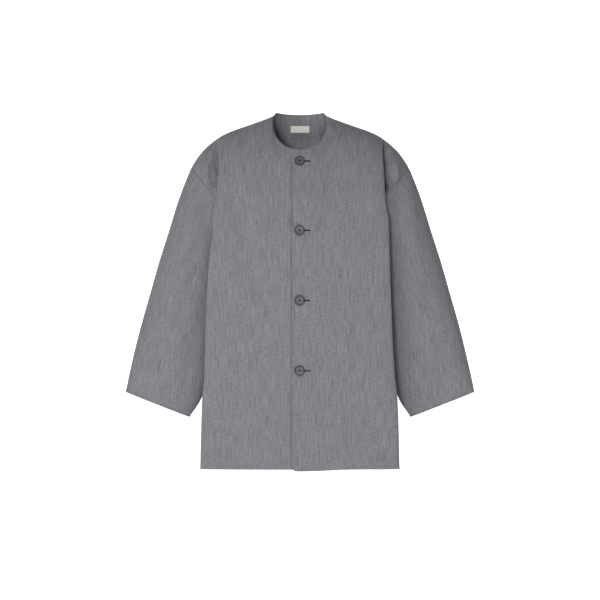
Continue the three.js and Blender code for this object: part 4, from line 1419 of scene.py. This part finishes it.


# Where the button's finish darkens: its rim; its middle with the two holes, as a painted shadow of its
# thread; and a band from the middle out, as painted shade of the buttonhole behind, seen through the button.
# Each runs from one distance to another, and two have a strength below 1.
RIM_SHADE = dict(start=BUTTON_RADIUS * 0.68, end=BUTTON_RADIUS * 0.86, strength=0.8)
PAINTED_THREAD_SHADOW = dict(start=0.0014, end=0.0032)
PAINTED_BUTTONHOLE_SHADE_EDGE = dict(start=0.0005, end=0.0019, strength=0.9)
PAINTED_BUTTONHOLE_SHADE_END = dict(start=0.0002, end=0.002)
BUTTON_CLOUD_SHADE = 0.5
BUTTON_LIGHT = colour(0.106, 0.100, 0.105)
BUTTON_DARK = colour(0.022, 0.020, 0.022)

# How many clouds lie in a metre of each finish, all ways alike
BUTTON_CLOUD_SCALE = 260
THREAD_CLOUD_SCALE = 1500
LABEL_CLOUD_SCALE = 900
SWEEP_CLOUD_SCALE = 3


def button_finish():
    """A satin grey-brown disc, darker at its rim, with a painted shadow of its thread in its middle and
    painted shade of the buttonhole seen through it.
    """
    finish = Finish("grey_button")
    x, y, z = finish.places("disc")
    radius = (x * x + y * y) ** 0.5
    rim = radius.rising(RIM_SHADE["start"], RIM_SHADE["end"]) * RIM_SHADE["strength"]
    # Painted shadow of the thread around the two holes
    middle = 1 - radius.rising(PAINTED_THREAD_SHADOW["start"], PAINTED_THREAD_SHADOW["end"])
    # Painted shade of the buttonhole behind, as seen through the button
    band = 1 - y.size().rising(PAINTED_BUTTONHOLE_SHADE_EDGE["start"], PAINTED_BUTTONHOLE_SHADE_EDGE["end"])
    band *= x.rising(PAINTED_BUTTONHOLE_SHADE_END["start"], PAINTED_BUTTONHOLE_SHADE_END["end"]) * PAINTED_BUTTONHOLE_SHADE_EDGE["strength"]
    cloud = finish.even_cloud(x, y, z, BUTTON_CLOUD_SCALE, FINE_CLOUD_DETAIL)
    shade = rim + band + middle + (cloud - 0.5) * BUTTON_CLOUD_SHADE
    return finish.surface(
        Base_Color=finish.mix(shade, BUTTON_LIGHT, BUTTON_DARK),
        Roughness=0.36 + cloud * 0.14,
        Normal=finish.bump(cloud, 0.00006),
        Specular_IOR_Level=0.45,
    )


def thread_finish(name, dark, light):
    """A matt sewing thread of two tones."""
    finish = Finish(name)
    cloud = finish.even_cloud(*finish.places("place"), THREAD_CLOUD_SCALE)
    return finish.surface(Base_Color=finish.mix(cloud, dark, light), Roughness=0.6 + cloud * 0.2)


RIB_PITCH = 0.0005
LABEL_DARK = colour(0.90, 0.87, 0.79)
LABEL_LIGHT = colour(0.97, 0.94, 0.87)


def label_finish():
    """Bare cream tape with a fine ribbed weave."""
    finish = Finish("cream_label")
    x, y, z = finish.places("place")
    rib = (x * (math.pi / RIB_PITCH)).sine().size() + (z * (math.pi / RIB_PITCH)).sine().size()
    cloud = finish.even_cloud(x, y, z, LABEL_CLOUD_SCALE)
    return finish.surface(
        Base_Color=finish.mix(cloud, LABEL_DARK, LABEL_LIGHT),
        Roughness=0.75 + cloud * 0.1,
        Normal=finish.bump(rib, 0.00008),
    )


# Putting the jacket together


def declare(made, node, rides_with=()):
    """Sets a piece and the ones that ride with it on the jacket's one body, and hides the imported part of
    its node.
    """
    for piece in (made, *rides_with):
        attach(piece, "root")
    if node:
        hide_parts(node)


cloth_material = cloth_finish()
button_material = button_finish()
brown_thread = thread_finish("brown_thread", colour(0.010, 0.006, 0.007), colour(0.034, 0.022, 0.024))
grey_thread = thread_finish("grey_thread", colour(0.060, 0.060, 0.066), colour(0.115, 0.114, 0.122))
cream_thread = thread_finish("cream_thread", colour(0.62, 0.58, 0.49), colour(0.80, 0.76, 0.67))

front_right = panel("front_right", FRONT, RIGHT_ARM, cloth_material)
front_left = panel("front_left", FRONT, LEFT_ARM, cloth_material)
back_right = panel("back_right", BACK, RIGHT_ARM, cloth_material)
back_left = panel("back_left", BACK, LEFT_ARM, cloth_material)
sleeve_right = sleeve("sleeve_right", RIGHT_ARM, cloth_material)
sleeve_left = sleeve("sleeve_left", LEFT_ARM, cloth_material)

front = Front(front_left)
drilled = button_mesh()
buttonholes = []
for index in range(BUTTON_COUNT):
    disc = button(index, front, drilled, button_material)
    declare(disc["piece"], f"button_{index + 1}")
    thread = button_thread(index, disc, brown_thread)
    hole = buttonhole(index, front, brown_thread)
    declare(thread, None)
    declare(hole, None)
    buttonholes += [hole]
bpy.data.meshes.remove(drilled)

strip = label_strip((back_right, back_left), label_finish())
strip_stitches = label_stitches(strip, cream_thread)
declare(strip["piece"], "label", [strip_stitches])

SEWN_ON = dict(
    front_left=buttonholes,
    sleeve_right=[cuff_stitches("cuff_stitches_right", sleeve_right, grey_thread)],
    sleeve_left=[cuff_stitches("cuff_stitches_left", sleeve_left, grey_thread)],
)
CLOTH = dict(
    front_right=front_right,
    front_left=front_left,
    back_right=back_right,
    back_left=back_left,
    sleeve_right=sleeve_right,
    sleeve_left=sleeve_left,
)
for name, made in CLOTH.items():
    ring = name.startswith("sleeve")
    sewn_on = SEWN_ON.get(name, [])
    declare(made["piece"], name, sewn_on if ring else [])

# Camera, light and the white sweep behind

CAMERA_DISTANCE = 5.0
CAMERA_DOWN = 0.4114
CAMERA_REACH = 100
VIEW_WIDTH = 1.32
SENSOR_WIDTH = 36

# A broad light beside the camera, one from above and a weak one from the side
LIGHT_TARGET = (0, 0, -0.4)
LIGHTS = [
    dict(name="key", place=(-0.98, -6.4, -0.05), size=1.2, power=152),
    dict(name="top", place=(-1.32, -1.88, 2.88), size=1.2, power=48),
    dict(name="side", place=(-3.4, -3.5, 0.9), size=1.6, power=7),
]
WORLD_STRENGTH = 0.04


def set_camera():
    camera = bpy.data.cameras.new("camera")
    camera.sensor_width = SENSOR_WIDTH
    camera.lens = SENSOR_WIDTH * CAMERA_DISTANCE / VIEW_WIDTH
    camera.clip_end = CAMERA_REACH
    holder = bpy.data.objects.new("camera", camera)
    holder.location = (0, -CAMERA_DISTANCE, -CAMERA_DOWN)
    holder.rotation_euler = (math.pi / 2, 0, 0)
    bpy.context.scene.collection.objects.link(holder)
    bpy.context.scene.camera = holder


def add_light(name, place, size, power):
    """A round area light that faces the jacket."""
    lamp = bpy.data.lights.new(name, "AREA")
    lamp.shape = "DISK"
    lamp.size = size
    lamp.energy = power
    holder = bpy.data.objects.new(name, lamp)
    holder.location = place
    holder.rotation_euler = (Vector(LIGHT_TARGET) - Vector(place)).to_track_quat("-Z", "Y").to_euler()
    bpy.context.scene.collection.objects.link(holder)


# The sweep: its floor, the wall behind and the curve between them
FLOOR_DOWN = 1.9
WALL_BEHIND = 7.5
CURVE_RADIUS = 1.6
CURVE_STEPS = 12
SWEEP_FRONT = -7.0
SWEEP_HALF_WIDTH = 9.0
SWEEP_TOP = 5.5
SWEEP_DARK = colour(0.80, 0.80, 0.80)
SWEEP_LIGHT = colour(0.84, 0.84, 0.84)
SWEEP_GLOW = 0.9


def sweep_finish():
    """White paper with a glow of its own, so that it stays white in the picture."""
    finish = Finish("white_sweep")
    cloud = finish.even_cloud(*finish.places("place"), SWEEP_CLOUD_SCALE)
    return finish.surface(
        Base_Color=finish.mix(cloud, SWEEP_DARK, SWEEP_LIGHT),
        Roughness=0.9,
        Emission_Color=WHITE,
        Emission_Strength=SWEEP_GLOW,
    )


def set_stage():
    """A pale floor below the jacket that rises behind it in one curve to a white wall."""
    line = [(SWEEP_FRONT, -FLOOR_DOWN)]
    for k in range(CURVE_STEPS + 1):
        turn = k / CURVE_STEPS * math.pi / 2
        depth = WALL_BEHIND - CURVE_RADIUS + CURVE_RADIUS * math.sin(turn)
        line.append((depth, -FLOOR_DOWN + CURVE_RADIUS * (1 - math.cos(turn))))
    line.append((WALL_BEHIND, SWEEP_TOP))
    points = [(side * SWEEP_HALF_WIDTH, y, z) for y, z in line for side in (-1, 1)]
    faces = [(2 * k, 2 * k + 1, 2 * k + 3, 2 * k + 2) for k in range(len(line) - 1)]
    mesh = bpy.data.meshes.new("sweep")
    mesh.from_pydata(points, [], faces)
    keep_places(mesh, "place", points)
    link("sweep", mesh, sweep_finish())


def set_world():
    world = bpy.data.worlds.new("studio")
    world.use_nodes = True
    background = world.node_tree.nodes["Background"]
    background.inputs["Color"].default_value = WHITE
    background.inputs["Strength"].default_value = WORLD_STRENGTH
    bpy.context.scene.world = world


set_camera()
set_stage()
set_world()
for light in LIGHTS:
    add_light(**light)
bpy.context.scene.view_settings.view_transform = "Standard"
